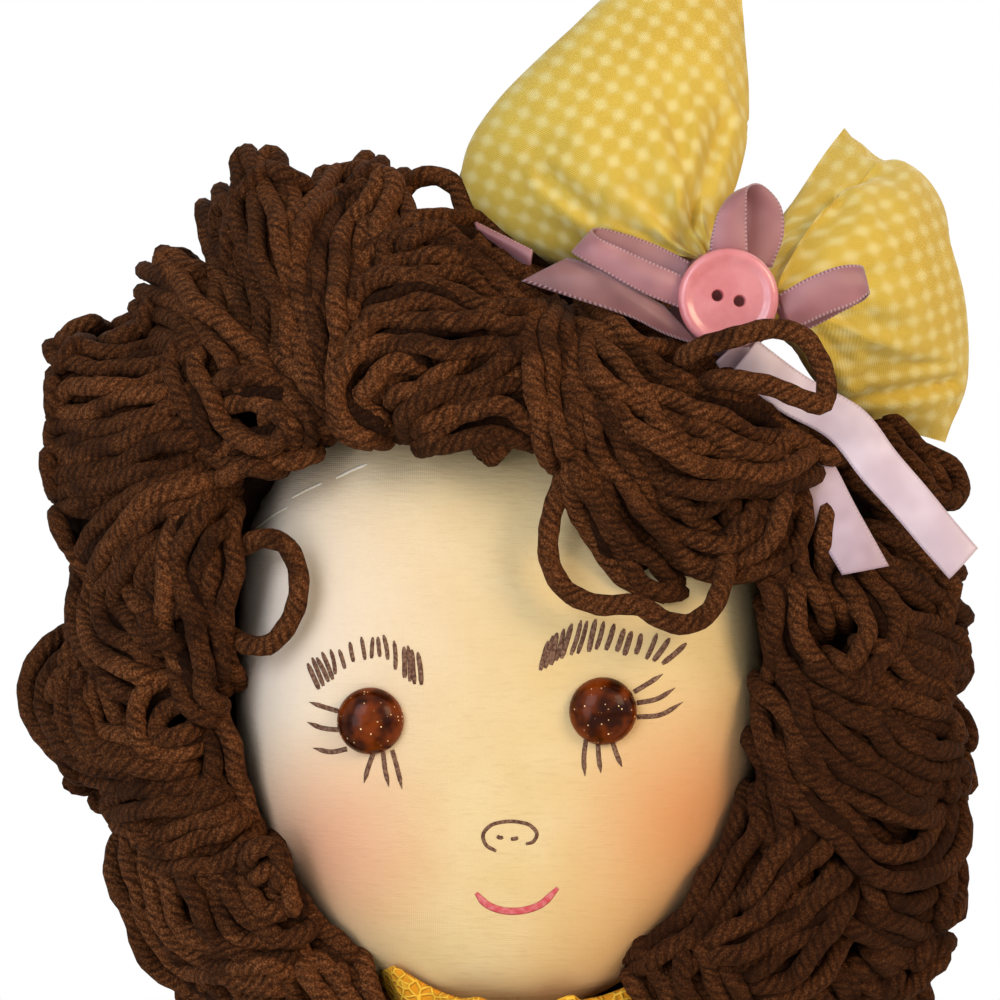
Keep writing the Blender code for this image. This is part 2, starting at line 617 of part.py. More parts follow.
def hair_front(x, rise):
    """How far before the head's middle the hair's face lies, at a place across and above it."""
    outline = hair_section(math.degrees(math.atan2(rise, x)))[1]
    wanted = math.hypot(x, rise)
    depth = 0
    for a, b in zip(outline, outline[1:]):
        near, far = (math.hypot(p.x, p.z - HEAD_Z) for p in (a, b))
        if min(near, far) <= wanted <= max(near, far):
            share = (wanted - near) / (far - near)
            depth = max(depth, HEAD_Y - (a.y + (b.y - a.y) * share))
    return depth


def strip(name, centres, across, neck):
    """A ribbon: a flat section carried along its middle line, with square ends."""
    centres = [Vector(c) for c in centres]
    rings = []
    for i, centre in enumerate(centres):
        ahead = centres[min(i + 1, len(centres) - 1)] - centres[max(i - 1, 0)]
        wide = (across - ahead * across.dot(ahead) / ahead.length_squared).normalized()
        thick = ahead.cross(wide).normalized() * RIBBON_THICKNESS / 2
        side = wide * RIBBON_WIDTH / 2
        corners = (-side - thick, side - thick, side + thick, thick - side)
        rings.append([centre + corner for corner in corners])
    place_mesh(name, loft(rings), SATIN, neck)


def make_loop(name, length, degrees, neck):
    """A loop of ribbon that leaves the knot, folds over at its far end and comes back behind."""
    aim = Vector((math.cos(math.radians(degrees)), 0, math.sin(math.radians(degrees))))
    across = Vector((-aim.z, 0, aim.x))
    start = KNOT_RADIUS * LOOP_START_SHARE
    front = RIBBON_THICKNESS * 2 - KNOT_RADIUS
    centres = [aim * start + Vector((0, front, 0))]
    for angle in np.linspace(-np.pi / 2, np.pi / 2, LOOP_STEPS):
        along = length - LOOP_OPENING + LOOP_OPENING * math.cos(angle)
        depth = front + LOOP_OPENING * (1 + math.sin(angle)) / 2
        centres.append(aim * along + Vector((0, depth, 0)))
    centres.append(aim * start + Vector((0, front + LOOP_OPENING, 0)))
    strip(name, [BOW_CENTRE + c for c in centres], across, neck)


def make_tail(name, length, degrees, layer, neck):
    """A tail of ribbon that lies on the hair, or on as many layers of ribbon, from the knot to its end."""
    aim = Vector((math.cos(math.radians(degrees)), 0, math.sin(math.radians(degrees))))
    across = Vector((-aim.z, 0, aim.x))
    start = KNOT_RADIUS * LOOP_START_SHARE
    knot_depth = math.sqrt(KNOT_RADIUS ** 2 - start ** 2) + RIBBON_THICKNESS - BOW_Y
    layers = layer * (RIBBON_THICKNESS + PIECE_GAP) * 2
    centres = []
    for share in np.linspace(0, 1, TAIL_STEPS):
        flat = Vector((BOW_X, 0, BOW_RISE)) + aim * (start + (length - start) * share)
        edge = across * (RIBBON_WIDTH / 2)
        depths = [hair_front(p.x, p.z) + RIBBON_LIFT for p in (flat, flat + edge, flat - edge)]
        depth = max(*depths, knot_depth * (1 - share) ** TAIL_SETTLE_POWER)
        centres.append(HEAD_CENTRE + Vector((flat.x, -depth - layers, flat.z)))
    strip(name, centres, across, neck)


def arm_rings(grow, side):
    """Oval rings of the arm's form, from the shoulder's round end to the mitten's tip."""
    spread = math.radians(ARM_SPREAD_DEGREES)
    aim = np.array((side * math.sin(spread), 0, -math.cos(spread)))
    across = np.array((side * math.cos(spread), 0, math.sin(spread)))
    whole = ARM_LENGTH + ARM_RADIUS
    start = shoulder_place(side) - aim * ARM_RADIUS
    along, ends = rounded_stations(ARM_STATIONS, ARM_RADIUS / whole, ARM_RADIUS / whole)
    narrow = smooth_table(ARM_LENGTH_SHARES, ARM_FLATNESS_SHARES, along)
    wide = smooth_table(ARM_LENGTH_SHARES, ARM_WIDTH_SHARES, along) * ARM_RADIUS * ends
    rings = []
    for share, half, flat in zip(along, wide, narrow):
        centre = start + aim * (share * whole)
        rings.append(oval(centre, across, (0, 1, 0), half * flat + grow, half + grow, ARM_SIDES))
    return rings, start + aim * (whole - ARM_RADIUS * 2)


def make_arm(side, label, shoulder):
    """A stuffed arm with a mitten hand and its thumb, and the puffed sleeve round its top."""
    rings, thumb_root = arm_rings(0, side)
    arm = place_mesh("arm_" + label, loft(rings), MUSLIN, shoulder)
    turn = Matrix.Rotation(math.radians(THUMB_DEGREES), 4, "X")
    centre = Vector(thumb_root) + Vector((0, -ARM_RADIUS * THUMB_ROOT_SHARE, 0))
    thumb = ball(centre, (THUMB_RADIUS, THUMB_RADIUS, THUMB_LENGTH), turn, sides=THUMB_SIDES)
    cut(arm, thumb, "thumb", "UNION")
    make_sleeve(side, label, shoulder)


def make_sleeve(side, label, shoulder):
    """The puffed sleeve: a shell round the top of the arm, open at the cuff and flat towards the body."""
    first, last = SLEEVE_FIRST_RING, SLEEVE_LAST_RING + 1
    inner = arm_rings(BODICE_GAP, side)[0][first:last]
    full = SLEEVE_RADIUS - ARM_RADIUS - CLOTH_THICKNESS
    outer = []
    for i, share in enumerate(np.linspace(0, 1, last - first)):
        grow = BODICE_GAP + CLOTH_THICKNESS + full * math.sin(math.pi * share)
        outer.append(arm_rings(grow, side)[0][first + i])
    sleeve = place_mesh("sleeve_" + label, loft(inner + outer[::-1], closed=True), GINGHAM, shoulder)
    plane = side * (bodice_side() + PIECE_GAP)
    near, far = sorted((plane, plane - side * (SLEEVE_RADIUS + CUT_OVERRUN)))
    tall = SLEEVE_RADIUS + SHOULDER_Z
    cut(sleeve, block((near, -tall, 0), (far, tall, SHOULDER_Z + tall)), "body_side")


def leg_rings(grow, side):
    """Round rings of the leg's form, from the hip's round end to the ankle inside the foot."""
    x = side * LEG_SPACING / 2
    whole = LEG_LENGTH + LEG_RADIUS - FOOT_HALF_DEPTH
    along, ends = rounded_stations(LEG_STATIONS, LEG_RADIUS / whole, FOOT_HALF_DEPTH / whole)
    wide = smooth_table(LEG_LENGTH_SHARES, LEG_WIDTH_SHARES, along) * LEG_RADIUS * ends
    rings = []
    for share, half in zip(along, wide):
        centre = (x, HIP_Y + LEG_RADIUS - share * whole, HIP_Z)
        rings.append(oval(centre, (1, 0, 0), (0, 0, 1), half + grow, half + grow, LEG_SIDES))
    return rings


def foot_ball(grow, side):
    """The foot's form, standing up from the heel at the end of the leg."""
    outer = FOOT_HALF_HEIGHT + PIECE_GAP + SHOE_WALL
    centre = Vector((side * LEG_SPACING / 2, HIP_Y - LEG_LENGTH + FOOT_HALF_DEPTH, outer - FLAT_DEPTH))
    sizes = (FOOT_HALF_WIDTH + grow, FOOT_HALF_DEPTH + grow, FOOT_HALF_HEIGHT + grow)
    return ball(centre, sizes, sides=FOOT_SIDES)


def floor_cutter():
    """Everything below the floor, so that what rests on it is flat."""
    far = LEG_LENGTH + TORSO_HEIGHT
    return block((-far, -2 * far, -CUT_OVERRUN), (far, far, 0))


def make_leg(side, label, hip):
    """A stuffed leg and foot that lies along the floor, and its soft shoe."""
    leg = place_mesh("leg_" + label, loft(leg_rings(0, side)), MUSLIN, hip)
    cut(leg, foot_ball(0, side), "foot", "UNION")
    cut(leg, floor_cutter(), "floor")
    shoe = place_mesh("shoe_" + label, foot_ball(PIECE_GAP + SHOE_WALL, side), FELT, hip)
    cut(shoe, foot_ball(PIECE_GAP, side), "foot_room")
    cut(shoe, loft(leg_rings(PIECE_GAP, side)), "ankle")
    cut(shoe, floor_cutter(), "floor")


def make_bodice(root):
    """The dress's bodice: a shell over the torso from the waist to the neck."""
    inner = bodice_rings(BODICE_GAP)
    outer = bodice_rings(BODICE_GAP + CLOTH_THICKNESS)
    place_mesh("dress_bodice", loft(inner + outer[::-1], closed=True), GINGHAM, root)


def skirt_place(turn, share, grow):
    """A point of the skirt: oval at the waist, flaring into folds, with its hem raised over the legs."""
    front = max(0, -math.sin(turn))
    back = max(0, math.sin(turn))
    waist = bodice_rings(BODICE_GAP)[0]
    half_width = float(waist[:, 0].max())
    half_depth = float(waist[:, 1].max())
    hem_x = SKIRT_SIDE_REACH
    hem_y = SKIRT_FRONT_REACH if front else SKIRT_BACK_REACH
    ease = share ** SKIRT_FLARE_POWER
    x = (half_width + (hem_x - half_width) * ease) * math.cos(turn)
    y = (half_depth + (hem_y - half_depth) * ease) * math.sin(turn)
    fold = SKIRT_FOLD_DEPTH * share * math.cos(SKIRT_FOLDS * turn)
    out = Vector((x, y, 0)).normalized() * (fold + grow)
    hem = SKIRT_SIDE_HEM + (SKIRT_FRONT_HEM - SKIRT_SIDE_HEM) * min(1, front / SKIRT_LAP_SHARE)
    hem -= back * SKIRT_SIDE_HEM * SKIRT_BACK_DROP_SHARE
    top = BODICE_BOTTOM - PIECE_GAP
    power = SKIRT_DROP_POWERS[0] + (SKIRT_DROP_POWERS[1] - SKIRT_DROP_POWERS[0]) * front
    return Vector((x, y, top + (hem - top) * share ** power)) + out


def make_skirt(root):
    """The gathered skirt: a folded shell that hangs from the bodice's lower edge."""
    turns = 2 * np.pi * np.arange(SKIRT_SIDES) / SKIRT_SIDES
    shares = np.linspace(0, 1, SKIRT_LEVELS)
    inner = [[skirt_place(t, s, 0) for t in turns] for s in shares]
    outer = [[skirt_place(t, s, CLOTH_THICKNESS) for t in turns] for s in shares]
    place_mesh("dress_skirt", loft(inner + outer[::-1], closed=True), GINGHAM, root)


def make_collar(root):
    """The lace ruffle: a waved ring on the bodice's top edge, which rises round the chin."""
    turns = 2 * np.pi * np.arange(COLLAR_SIDES) / COLLAR_SIDES
    edge = bodice_rings(BODICE_GAP + CLOTH_THICKNESS)[-1]
    half_width = float(edge[:, 0].max())
    half_depth = float(edge[:, 1].max())
    bottom = float(edge[:, 2].max()) + PIECE_GAP
    rise = COLLAR_TOP - COLLAR_THICKNESS - bottom
    shares = np.linspace(0, 1, COLLAR_LEVELS)
    rings = []
    for inset, levels in ((0, shares), (COLLAR_THICKNESS, shares[::-1])):
        for share in levels:
            spread = COLLAR_SPREAD * share ** COLLAR_CURL_POWER - inset
            wave = COLLAR_WAVE * share * np.cos(COLLAR_WAVES * turns)
            x = (half_width + spread + wave) * np.cos(turns)
            y = (half_depth + spread + wave) * np.sin(turns)
            rings.append(np.stack([x, y, bottom + rise * share + wave / 2], axis=1))
    place_mesh("collar_ruffle", loft(rings, closed=True), LACE, root)


def make_doll():
    clear_scene()
    root = pivot("doll", (0, 0, 0))
    neck = pivot("neck_pivot", NECK_PIVOT)
    make_torso(root)
    make_bodice(root)
    make_skirt(root)
    make_collar(root)
    make_head(neck)
    make_eye("eye_left", EYE_LEFT_X, EYE_LEFT_RISE, neck)
    make_eye("eye_right", EYE_RIGHT_X, EYE_RIGHT_RISE, neck)
    for name, (start, end) in HAIR_LOCKS.items():
        make_lock(name, start, end, neck)
    make_back_hair(neck)
    left_shape = LOBE_LEFT_WIDTH_SHARES, LOBE_LEFT_SHIFT_SHARES
    right_shape = LOBE_RIGHT_WIDTH_SHARES, LOBE_RIGHT_SHIFT_SHARES
    make_lobe("bow_lobe_left", LOBE_LEFT_LENGTH, LOBE_LEFT_AIM, LOBE_LEFT_ACROSS, *left_shape, neck)
    make_lobe("bow_lobe_right", LOBE_RIGHT_LENGTH, LOBE_RIGHT_AIM, LOBE_RIGHT_ACROSS, *right_shape, neck)
    make_knot(neck)
    make_button(neck)
    make_loop("ribbon_loop_left", LOOP_LEFT_LENGTH, LOOP_LEFT_DEGREES, neck)
    make_loop("ribbon_loop_top", LOOP_TOP_LENGTH, LOOP_TOP_DEGREES, neck)
    make_loop("ribbon_loop_right", LOOP_RIGHT_LENGTH, LOOP_RIGHT_DEGREES, neck)
    make_tail("ribbon_tail_left", TAIL_LEFT_LENGTH, TAIL_LEFT_DEGREES, 0, neck)
    make_tail("ribbon_tail_right", TAIL_RIGHT_LENGTH, TAIL_RIGHT_DEGREES, 1, neck)
    make_tail("ribbon_tail_lower", TAIL_LOWER_LENGTH, TAIL_LOWER_DEGREES, 0, neck)
    for side, label in ((-1, "left"), (1, "right")):
        shoulder = pivot("shoulder_pivot_" + label, shoulder_place(side))
        make_arm(side, label, shoulder)
        hip = pivot("hip_pivot_" + label, (side * LEG_SPACING / 2, HIP_Y, HIP_Z))
        make_leg(side, label, hip)
    bpy.context.view_layer.update()


make_doll()
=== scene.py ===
"""The look of the seated rag doll: its cloth, yarn, ribbon, face and light.

Units are metres. Places on the head are read from the photograph in pixels of its 1000 x 1000 frame
and put at a depth along Y, so that they fall on the same pixels in the render. Other sizes are named
values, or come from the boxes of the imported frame.
"""

import math

import bmesh
import bpy
import numpy as np
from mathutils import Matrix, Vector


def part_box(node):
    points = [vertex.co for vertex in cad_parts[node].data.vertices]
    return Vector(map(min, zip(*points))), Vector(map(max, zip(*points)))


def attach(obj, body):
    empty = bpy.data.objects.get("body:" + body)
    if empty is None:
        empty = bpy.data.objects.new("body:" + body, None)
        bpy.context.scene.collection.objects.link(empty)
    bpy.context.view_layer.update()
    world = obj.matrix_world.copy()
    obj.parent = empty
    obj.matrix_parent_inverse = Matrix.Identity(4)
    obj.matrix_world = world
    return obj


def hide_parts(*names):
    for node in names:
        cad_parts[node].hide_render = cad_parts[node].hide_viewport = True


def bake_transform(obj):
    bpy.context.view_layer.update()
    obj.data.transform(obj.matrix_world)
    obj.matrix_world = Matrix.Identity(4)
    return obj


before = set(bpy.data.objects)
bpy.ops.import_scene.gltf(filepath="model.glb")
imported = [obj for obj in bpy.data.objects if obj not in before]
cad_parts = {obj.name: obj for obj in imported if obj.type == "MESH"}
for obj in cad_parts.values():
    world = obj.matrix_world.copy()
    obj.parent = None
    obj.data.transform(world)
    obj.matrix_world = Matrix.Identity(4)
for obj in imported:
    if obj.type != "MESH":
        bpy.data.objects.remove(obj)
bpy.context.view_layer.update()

MM = 0.001
TINY = 1e-12
RANDOM = np.random.default_rng(11)

# How stuffed cloth is solved: its frames, its steps in a frame, its weight, and how much it may stretch
STUFFING_FRAMES = 20
STUFFING_CLOTH = {"use_pressure": True, "quality": 4, "mass": 0.15, "shrink_min": -0.02}

# The camera: the photograph's frame, its focal length in pixels and the place it was taken from
IMAGE_SIZE = 1000
SENSOR_WIDTH = 36
FOCAL_PIXELS = 3150
CAMERA_PLACE = np.array((0, -0.740, 0.288))

# The yarn's plies, and how far apart they show along it
YARN_PLIES = 4
PLY_SPACING = 2.3 * MM

# The head, from its packed box: the socket cuts its lower end off, so the middle is found from the top
HEAD_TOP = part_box("head")[1][2]
HEAD_HALF = np.array((62, 40, 71.5)) * MM
HEAD_MIDDLE = np.array((0, 0, HEAD_TOP - HEAD_HALF[2]))
HEAD_CHIN = 76.5 * MM
FACE_POWER = 4.2
BROW_POWER = 3.0
EYE_DIMPLE = 0.9 * MM
EYE_DIMPLE_RADIUS = 9.5 * MM
HEAD_RINGS = 130
HEAD_SIDES = 200


# Geometry helpers

def full_turn(count):
    """Angles at even steps round a circle."""
    return np.linspace(0, 2 * np.pi, count, endpoint=False)


def unit(vectors):
    """Vectors with the same directions and the length 1."""
    return vectors / (np.linalg.norm(vectors, axis=-1, keepdims=True) + TINY)


def travelled(points):
    """How far along a path each of its points lies."""
    return np.concatenate([[0], np.cumsum(np.linalg.norm(np.diff(points, axis=0), axis=1))])


def at_pixel(px, py, y):
    """The point that the camera sees at a pixel, at a depth: similar triangles from the camera's place."""
    px, py, y = np.broadcast_arrays(np.asarray(px, float), py, y)
    away = (y - CAMERA_PLACE[1]) / FOCAL_PIXELS
    half = IMAGE_SIZE / 2
    x, z = CAMERA_PLACE[0] + (px - half) * away, CAMERA_PLACE[2] - (py - half) * away
    return np.stack([x, y, z], axis=-1)


def ease(t):
    """A smooth step from 0 to 1."""
    t = np.clip(t, 0, 1)
    return t * t * (3 - 2 * t)


def smooth_values(places, values, at):
    """Rows of values read between their places: cubic pieces, with slopes that join up."""
    slopes = np.gradient(values, places, axis=0)
    i = np.clip(np.searchsorted(places, at, side="right") - 1, 0, len(places) - 2)
    span = (places[i + 1] - places[i])[:, None]
    t = (at - places[i])[:, None] / span
    rise = (1 + 2 * t) * (1 - t) ** 2 * values[i] + t * t * (3 - 2 * t) * values[i + 1]
    return rise + span * (t * (1 - t) ** 2 * slopes[i] - t * t * (1 - t) * slopes[i + 1])


def even_curve(points, step=None, count=None):
    """A smooth curve through points, read at equal distances along it."""
    points = np.asarray(points, float)
    reach = travelled(points)
    dense = smooth_values(reach, points, np.linspace(0, reach[-1], 14 * len(points)))
    reach = travelled(dense)
    count = count or max(4, round(reach[-1] / step) + 1)
    at = np.linspace(0, reach[-1], count)
    return np.stack([np.interp(at, reach, column) for column in dense.T], axis=1)


def side_frames(path):
    """Two directions square to the path at each point, which turn as little as they can along it."""
    ahead = unit(np.gradient(path, axis=0))
    side = np.empty_like(path)
    side[0] = unit(np.cross(ahead[0], (0.31, 0.9, 0.27)))
    for i in range(1, len(path)):
        v = side[i - 1] - ahead[i] * ahead[i].dot(side[i - 1])
        side[i] = v / math.sqrt(v.dot(v))
    return side, np.cross(ahead, side)


def grid_quads(rows, cols, wrap=False):
    """Corner numbers of the quads over a grid of points, closed round or not."""
    r, c = np.meshgrid(np.arange(rows - 1), np.arange(cols if wrap else cols - 1), indexing="ij")
    r, c = r.ravel(), c.ravel()
    right = (c + 1) % cols
    low, high = r * cols, (r + 1) * cols
    return np.stack([low + c, low + right, high + right, high + c], axis=1)


def corner_places(spread):
    """A grid's flat cloth map, with one place for each corner of each quad."""
    return spread.reshape(-1, 2)[grid_quads(*spread.shape[:2]).ravel()]


def new_object(name, points, quads, uv=None, values=None):
    """A smooth mesh object from arrays: uv is one place per quad corner, values one number per point."""
    points = np.asarray(points, float).reshape(-1, 3)
    quads = np.asarray(quads)
    mesh = bpy.data.meshes.new(name)
    mesh.vertices.add(len(points))
    mesh.vertices.foreach_set("co", points.ravel())
    mesh.loops.add(quads.size)
    mesh.loops.foreach_set("vertex_index", quads.ravel())
    mesh.polygons.add(len(quads))
    mesh.polygons.foreach_set("loop_start", np.arange(0, quads.size, quads.shape[1]))
    mesh.update(calc_edges=True)
    if uv is not None:
        mesh.uv_layers.new(name="cloth").data.foreach_set("uv", np.asarray(uv, float).reshape(-1))
    for key, numbers in (values or {}).items():
        layer = mesh.attributes.new(key, "FLOAT", "POINT")
        layer.data.foreach_set("value", np.asarray(numbers, float).ravel())
    mesh.validate()
    mesh.shade_smooth()
    obj = bpy.data.objects.new(name, mesh)
    bpy.context.scene.collection.objects.link(obj)
    return obj


def joined(tubes):
    """The points of many tubes in one row, and the corner numbers of all their quads."""
    points, quads, start = [], [], 0
    for rings in tubes:
        rows, sides = rings.shape[:2]
        points.append(rings.reshape(-1, 3))
        quads.append(grid_quads(rows, sides, True) + start)
        start += rows * sides
    return np.concatenate(points), np.concatenate(quads)


def mesh_piece(name, points, quads, material, body, uv=None, values=None, slot=None, nodes=()):
    """A new mesh object that has its material and rides on a body."""
    return settle(new_object(name, points, quads, uv, values), material, body, nodes)


def closed_form(name, forms):
    """One mesh object of closed forms: each is a grid of rings whose two ends are drawn in to a point."""
    grids = []
    for rings in forms:
        rings = np.asarray(rings, float)
        first, last = (np.repeat(ring.mean(axis=1, keepdims=True), rings.shape[1], axis=1)
                       for ring in (rings[:1], rings[-1:]))
        grids.append(np.concatenate([first, rings, last]))
    return fix_normals(new_object(name, *joined(grids)), weld=1e-6)


def spots_of(obj, kind="co"):
    """The places or normals of a mesh object's points, as an array."""
    spots = np.empty(len(obj.data.vertices) * 3)
    obj.data.vertices.foreach_get(kind, spots)
    return spots.reshape(-1, 3)


def stuff(obj, pressure, most, held=None):
    """Swells a closed cloth form by simulation: pressure inside it, and a cap on how far points move."""
    cloth = obj.modifiers.new("stuffing", "CLOTH")
    for key, value in STUFFING_CLOTH.items():
        setattr(cloth.settings, key, value)
    cloth.settings.uniform_pressure_force = pressure
    cloth.settings.effector_weights.gravity = 0
    cloth.collision_settings.use_collision = False
    cloth.point_cache.frame_end = STUFFING_FRAMES
    if held is not None:
        obj.vertex_groups.new(name="held").add(held, 1.0, "REPLACE")
        cloth.settings.vertex_group_mass = "held"
    before = spots_of(obj)
    for number in range(1, STUFFING_FRAMES + 1):
        bpy.context.scene.frame_set(number)
    apply_modifiers(obj)
    moved = spots_of(obj) - before
    size = np.linalg.norm(moved, axis=1)[:, None] + TINY
    obj.data.vertices.foreach_set("co", (before + moved / size * np.minimum(size, most)).ravel())
    obj.vertex_groups.clear()
    obj.data.update()
    obj.data.shade_smooth()
    bpy.context.scene.frame_set(1)


def apply_modifiers(obj):
    """Keeps the shape that the object's modifiers give it, and drops them."""
    graph = bpy.context.evaluated_depsgraph_get()
    made = bpy.data.meshes.new_from_object(obj.evaluated_get(graph))
    obj.modifiers.clear()
    obj.data = made


def cut_away(obj, tool):
    """Takes one closed form away from another."""
    cut = obj.modifiers.new("cut", "BOOLEAN")
    cut.operation, cut.object, cut.solver = "DIFFERENCE", tool, "EXACT"
    apply_modifiers(obj)
    bpy.data.objects.remove(tool)


def settle(obj, material, body, nodes=()):
    """Gives a piece its material, its body if it rides on one and its CAD nodes."""
    obj.data.materials.clear()
    obj.data.materials.append(material)
    if nodes:
        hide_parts(*nodes)
    if body:
        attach(obj, body)
    return obj


def fix_normals(obj, weld=0, turn_out=True, close=False):
    """Points all faces outwards, after welding points that fall together and filling open ends if asked."""
    bm = bmesh.new()
    bm.from_mesh(obj.data)
    if weld:
        bmesh.ops.remove_doubles(bm, verts=bm.verts, dist=weld)
    if close:
        bmesh.ops.holes_fill(bm, edges=[e for e in bm.edges if e.is_boundary], sides=0)
    if turn_out:
        bmesh.ops.recalc_face_normals(bm, faces=bm.faces)
    bm.to_mesh(obj.data)
    bm.free()
    return obj


def grid_piece(name, points, material, body, uv=None, weld=1e-6, **more):
    """A mesh piece over a grid that closes round: rows, columns and 3, with a grid of UV places if given."""
    spread = None if uv is None else corner_places(uv)
    return fix_normals(mesh_piece(name, *joined([points]), material, body, uv=spread, **more), weld)


def shell(points, thickness):
    """Both faces of a cloth over a closed-round grid: out along its normals, round the edge, and back."""
    along = np.gradient(points, axis=0)
    around = np.roll(points, -1, axis=1) - np.roll(points, 1, axis=1)
    half = unit(np.cross(around, along)) * thickness / 2
    return np.concatenate([points + half, (points - half)[::-1]], axis=0)


# Material helpers

def linear(hex_text):
    """The linear RGBA value of an sRGB colour written as #RRGGBB."""
    channels = [int(hex_text[i:i + 2], 16) / 255 for i in (1, 3, 5)]
    return [c / 12.92 if c <= 0.04045 else ((c + 0.055) / 1.055) ** 2.4 for c in channels] + [1]


def material(name):
    """A new node material with its Principled shader."""
    made = bpy.data.materials.new(name)
    made.use_nodes = True
    return made, made.node_tree.nodes["Principled BSDF"]


def add(made, kind, settings=None, **inputs):
    """Adds a node, sets its settings, and sets or links its inputs, each named or numbered as _0, _1."""
    node = made.node_tree.nodes.new("ShaderNode" + kind)
    for key, value in (settings or {}).items():
        setattr(node, key, value)
    feed(made, node, **inputs)
    return node


def feed(made, node, **inputs):
    """Sets or links inputs of a node that is there already."""
    for key, value in inputs.items():
        socket = node.inputs[int(key[1:])] if key[1:].isdigit() else node.inputs[key.replace("_", " ")]
        if isinstance(value, bpy.types.NodeSocket):
            made.node_tree.links.new(value, socket)
        else:
            socket.default_value = value


def sums(made, operation, *values):
    """A maths node over two or three values."""
    inputs = {f"_{i}": value for i, value in enumerate(values)}
    return add(made, "Math", {"operation": operation}, **inputs).outputs[0]


def mix(made, share, low, high):
    """A colour between two, by a share."""
    return add(made, "Mix", {"data_type": "RGBA"}, _0=share, _6=low, _7=high).outputs[2]


def tint(made, colour, share, strength, hex_text):
    """A colour that another one covers, by a share times a strength."""
    return mix(made, sums(made, "MULTIPLY", share, strength), colour, linear(hex_text))


def two_tone(made, value, low, high, first, second):
    """A colour that goes from one shade to another while a value goes from low to high."""
    return mix(made, ramp(made, value, low, high), linear(first), linear(second))


def ramp(made, value, low, high):
    """A value spread smoothly from the range low..high to 0..1."""
    settings = {"interpolation_type": "SMOOTHSTEP"}
    return add(made, "MapRange", settings, Value=value, From_Min=low, From_Max=high).outputs[0]


def place(made):
    """A point's place on the object, in metres."""
    return add(made, "TexCoord").outputs["Object"]


def noise(made, where, size, detail=3, stretch=(1, 1, 1), roughness=0.55):
    """Smooth noise whose blobs are about this size in metres, stretched along the axes."""
    scaled = add(made, "Mapping", Vector=where, Scale=[1 / (size * s) for s in stretch]).outputs[0]
    return add(made, "TexNoise", Vector=scaled, Scale=1, Detail=detail, Roughness=roughness).outputs[0]


def bump(made, height, depth, strength=1, over=None):
    """A bump of this depth in metres, on top of another bump if given."""
    node = add(made, "Bump", Height=height, Distance=depth, Strength=strength)
    if over is not None:
        feed(made, node, Normal=over)
    return node.outputs[0]


def waves(made, value, period):
    """A sine wave along a value in metres, from 0 to 1."""
    turned = sums(made, "SINE", sums(made, "MULTIPLY", value, 2 * math.pi / period))
    return sums(made, "MULTIPLY_ADD", turned, 0.5, 0.5)


def split(made, vector):
    """The three parts of a vector."""
    return add(made, "SeparateXYZ", Vector=vector).outputs[:3]


def cloth_map(made):
    """The piece's flat cloth map, in metres."""
    return add(made, "UVMap", {"uv_map": "cloth"}).outputs[0]


def ball_share(made, where, centre, radius):
    """1 at a place and 0 past a radius from it."""
    far = add(made, "VectorMath", {"operation": "DISTANCE"}, _0=where, _1=centre).outputs["Value"]
    return ramp(made, far, radius, 0)


# Materials

# Sizes that show in the finishes
MUSLIN_THREAD = 0.45 * MM
MUSLIN_SLUB = 0.9 * MM
GINGHAM_REPEAT = 4.75 * MM
GINGHAM_THREAD = 0.42 * MM
YARN_FIBRE = 0.5 * MM
SATIN_RIB = 0.32 * MM
SELVAGE_TICK = 1.3 * MM
SELVAGE_START = 4.15 * MM
SELVAGE_FULL = 4.55 * MM
LACE_MESH = 2.4 * MM
GLITTER_SPACING = 0.75 * MM
FELT_FIBRE = 0.8 * MM

# Tints on the face: painted light at the left, painted warm shade under the right cheek, and rouge on both
# cheeks; each with its middle in pixels, radius, strength and colour
FACE_ROUGE_AND_PAINTED_LIGHT = (
    # painted light: the cloth paler and cooler at the left
    ((250, 620), 74 * MM, 0.9, "#F6EDE2"),
    # painted warm shade under the right cheek, by the chin
    ((650, 950), 46 * MM, 0.7, "#DCA05E"),
    # rouge on the left cheek, then on the right
    ((330, 850), 36 * MM, 0.75, "#E3A081"),
    ((696, 812), 40 * MM, 0.85, "#DC9157"),
)


def muslin(name, face=False):
    """Unbleached cotton muslin: plain weave of 0.45 mm threads, with short faint slubs."""
    made, shader = material(name)
    where = place(made)
    x, _, z = split(made, where)
    weave = sums(made, "MULTIPLY", waves(made, x, MUSLIN_THREAD), waves(made, z, MUSLIN_THREAD))
    slub = noise(made, where, MUSLIN_SLUB, 2, (5, 3, 1))
    colour = two_tone(made, noise(made, where, 26 * MM, 2), 0.3, 0.7, "#EAD6A3", "#E5CC92")
    colour = tint(made, colour, ramp(made, slub, 0.5, 0.75), 0.35, "#D8BE86")
    if face:
        colour = rouge_and_painted_light(made, where, colour)
    height = sums(made, "MULTIPLY_ADD", weave, 0.25, slub)
    normal = bump(made, height, 0.16 * MM)
    feed(made, shader, Base_Color=colour, Roughness=0.82, Sheen_Weight=0.12, Normal=normal)
    return made


def rouge_and_painted_light(made, where, colour):
    """Painted light that makes the cloth paler at the left, painted warm shade under the right cheek, and
    rouge on both cheeks.
    """
    for middle, radius, strength, hex_text in FACE_ROUGE_AND_PAINTED_LIGHT:
        share = ball_share(made, where, face_point(*middle, 0), radius)
        colour = tint(made, colour, share, strength, hex_text)
    return colour


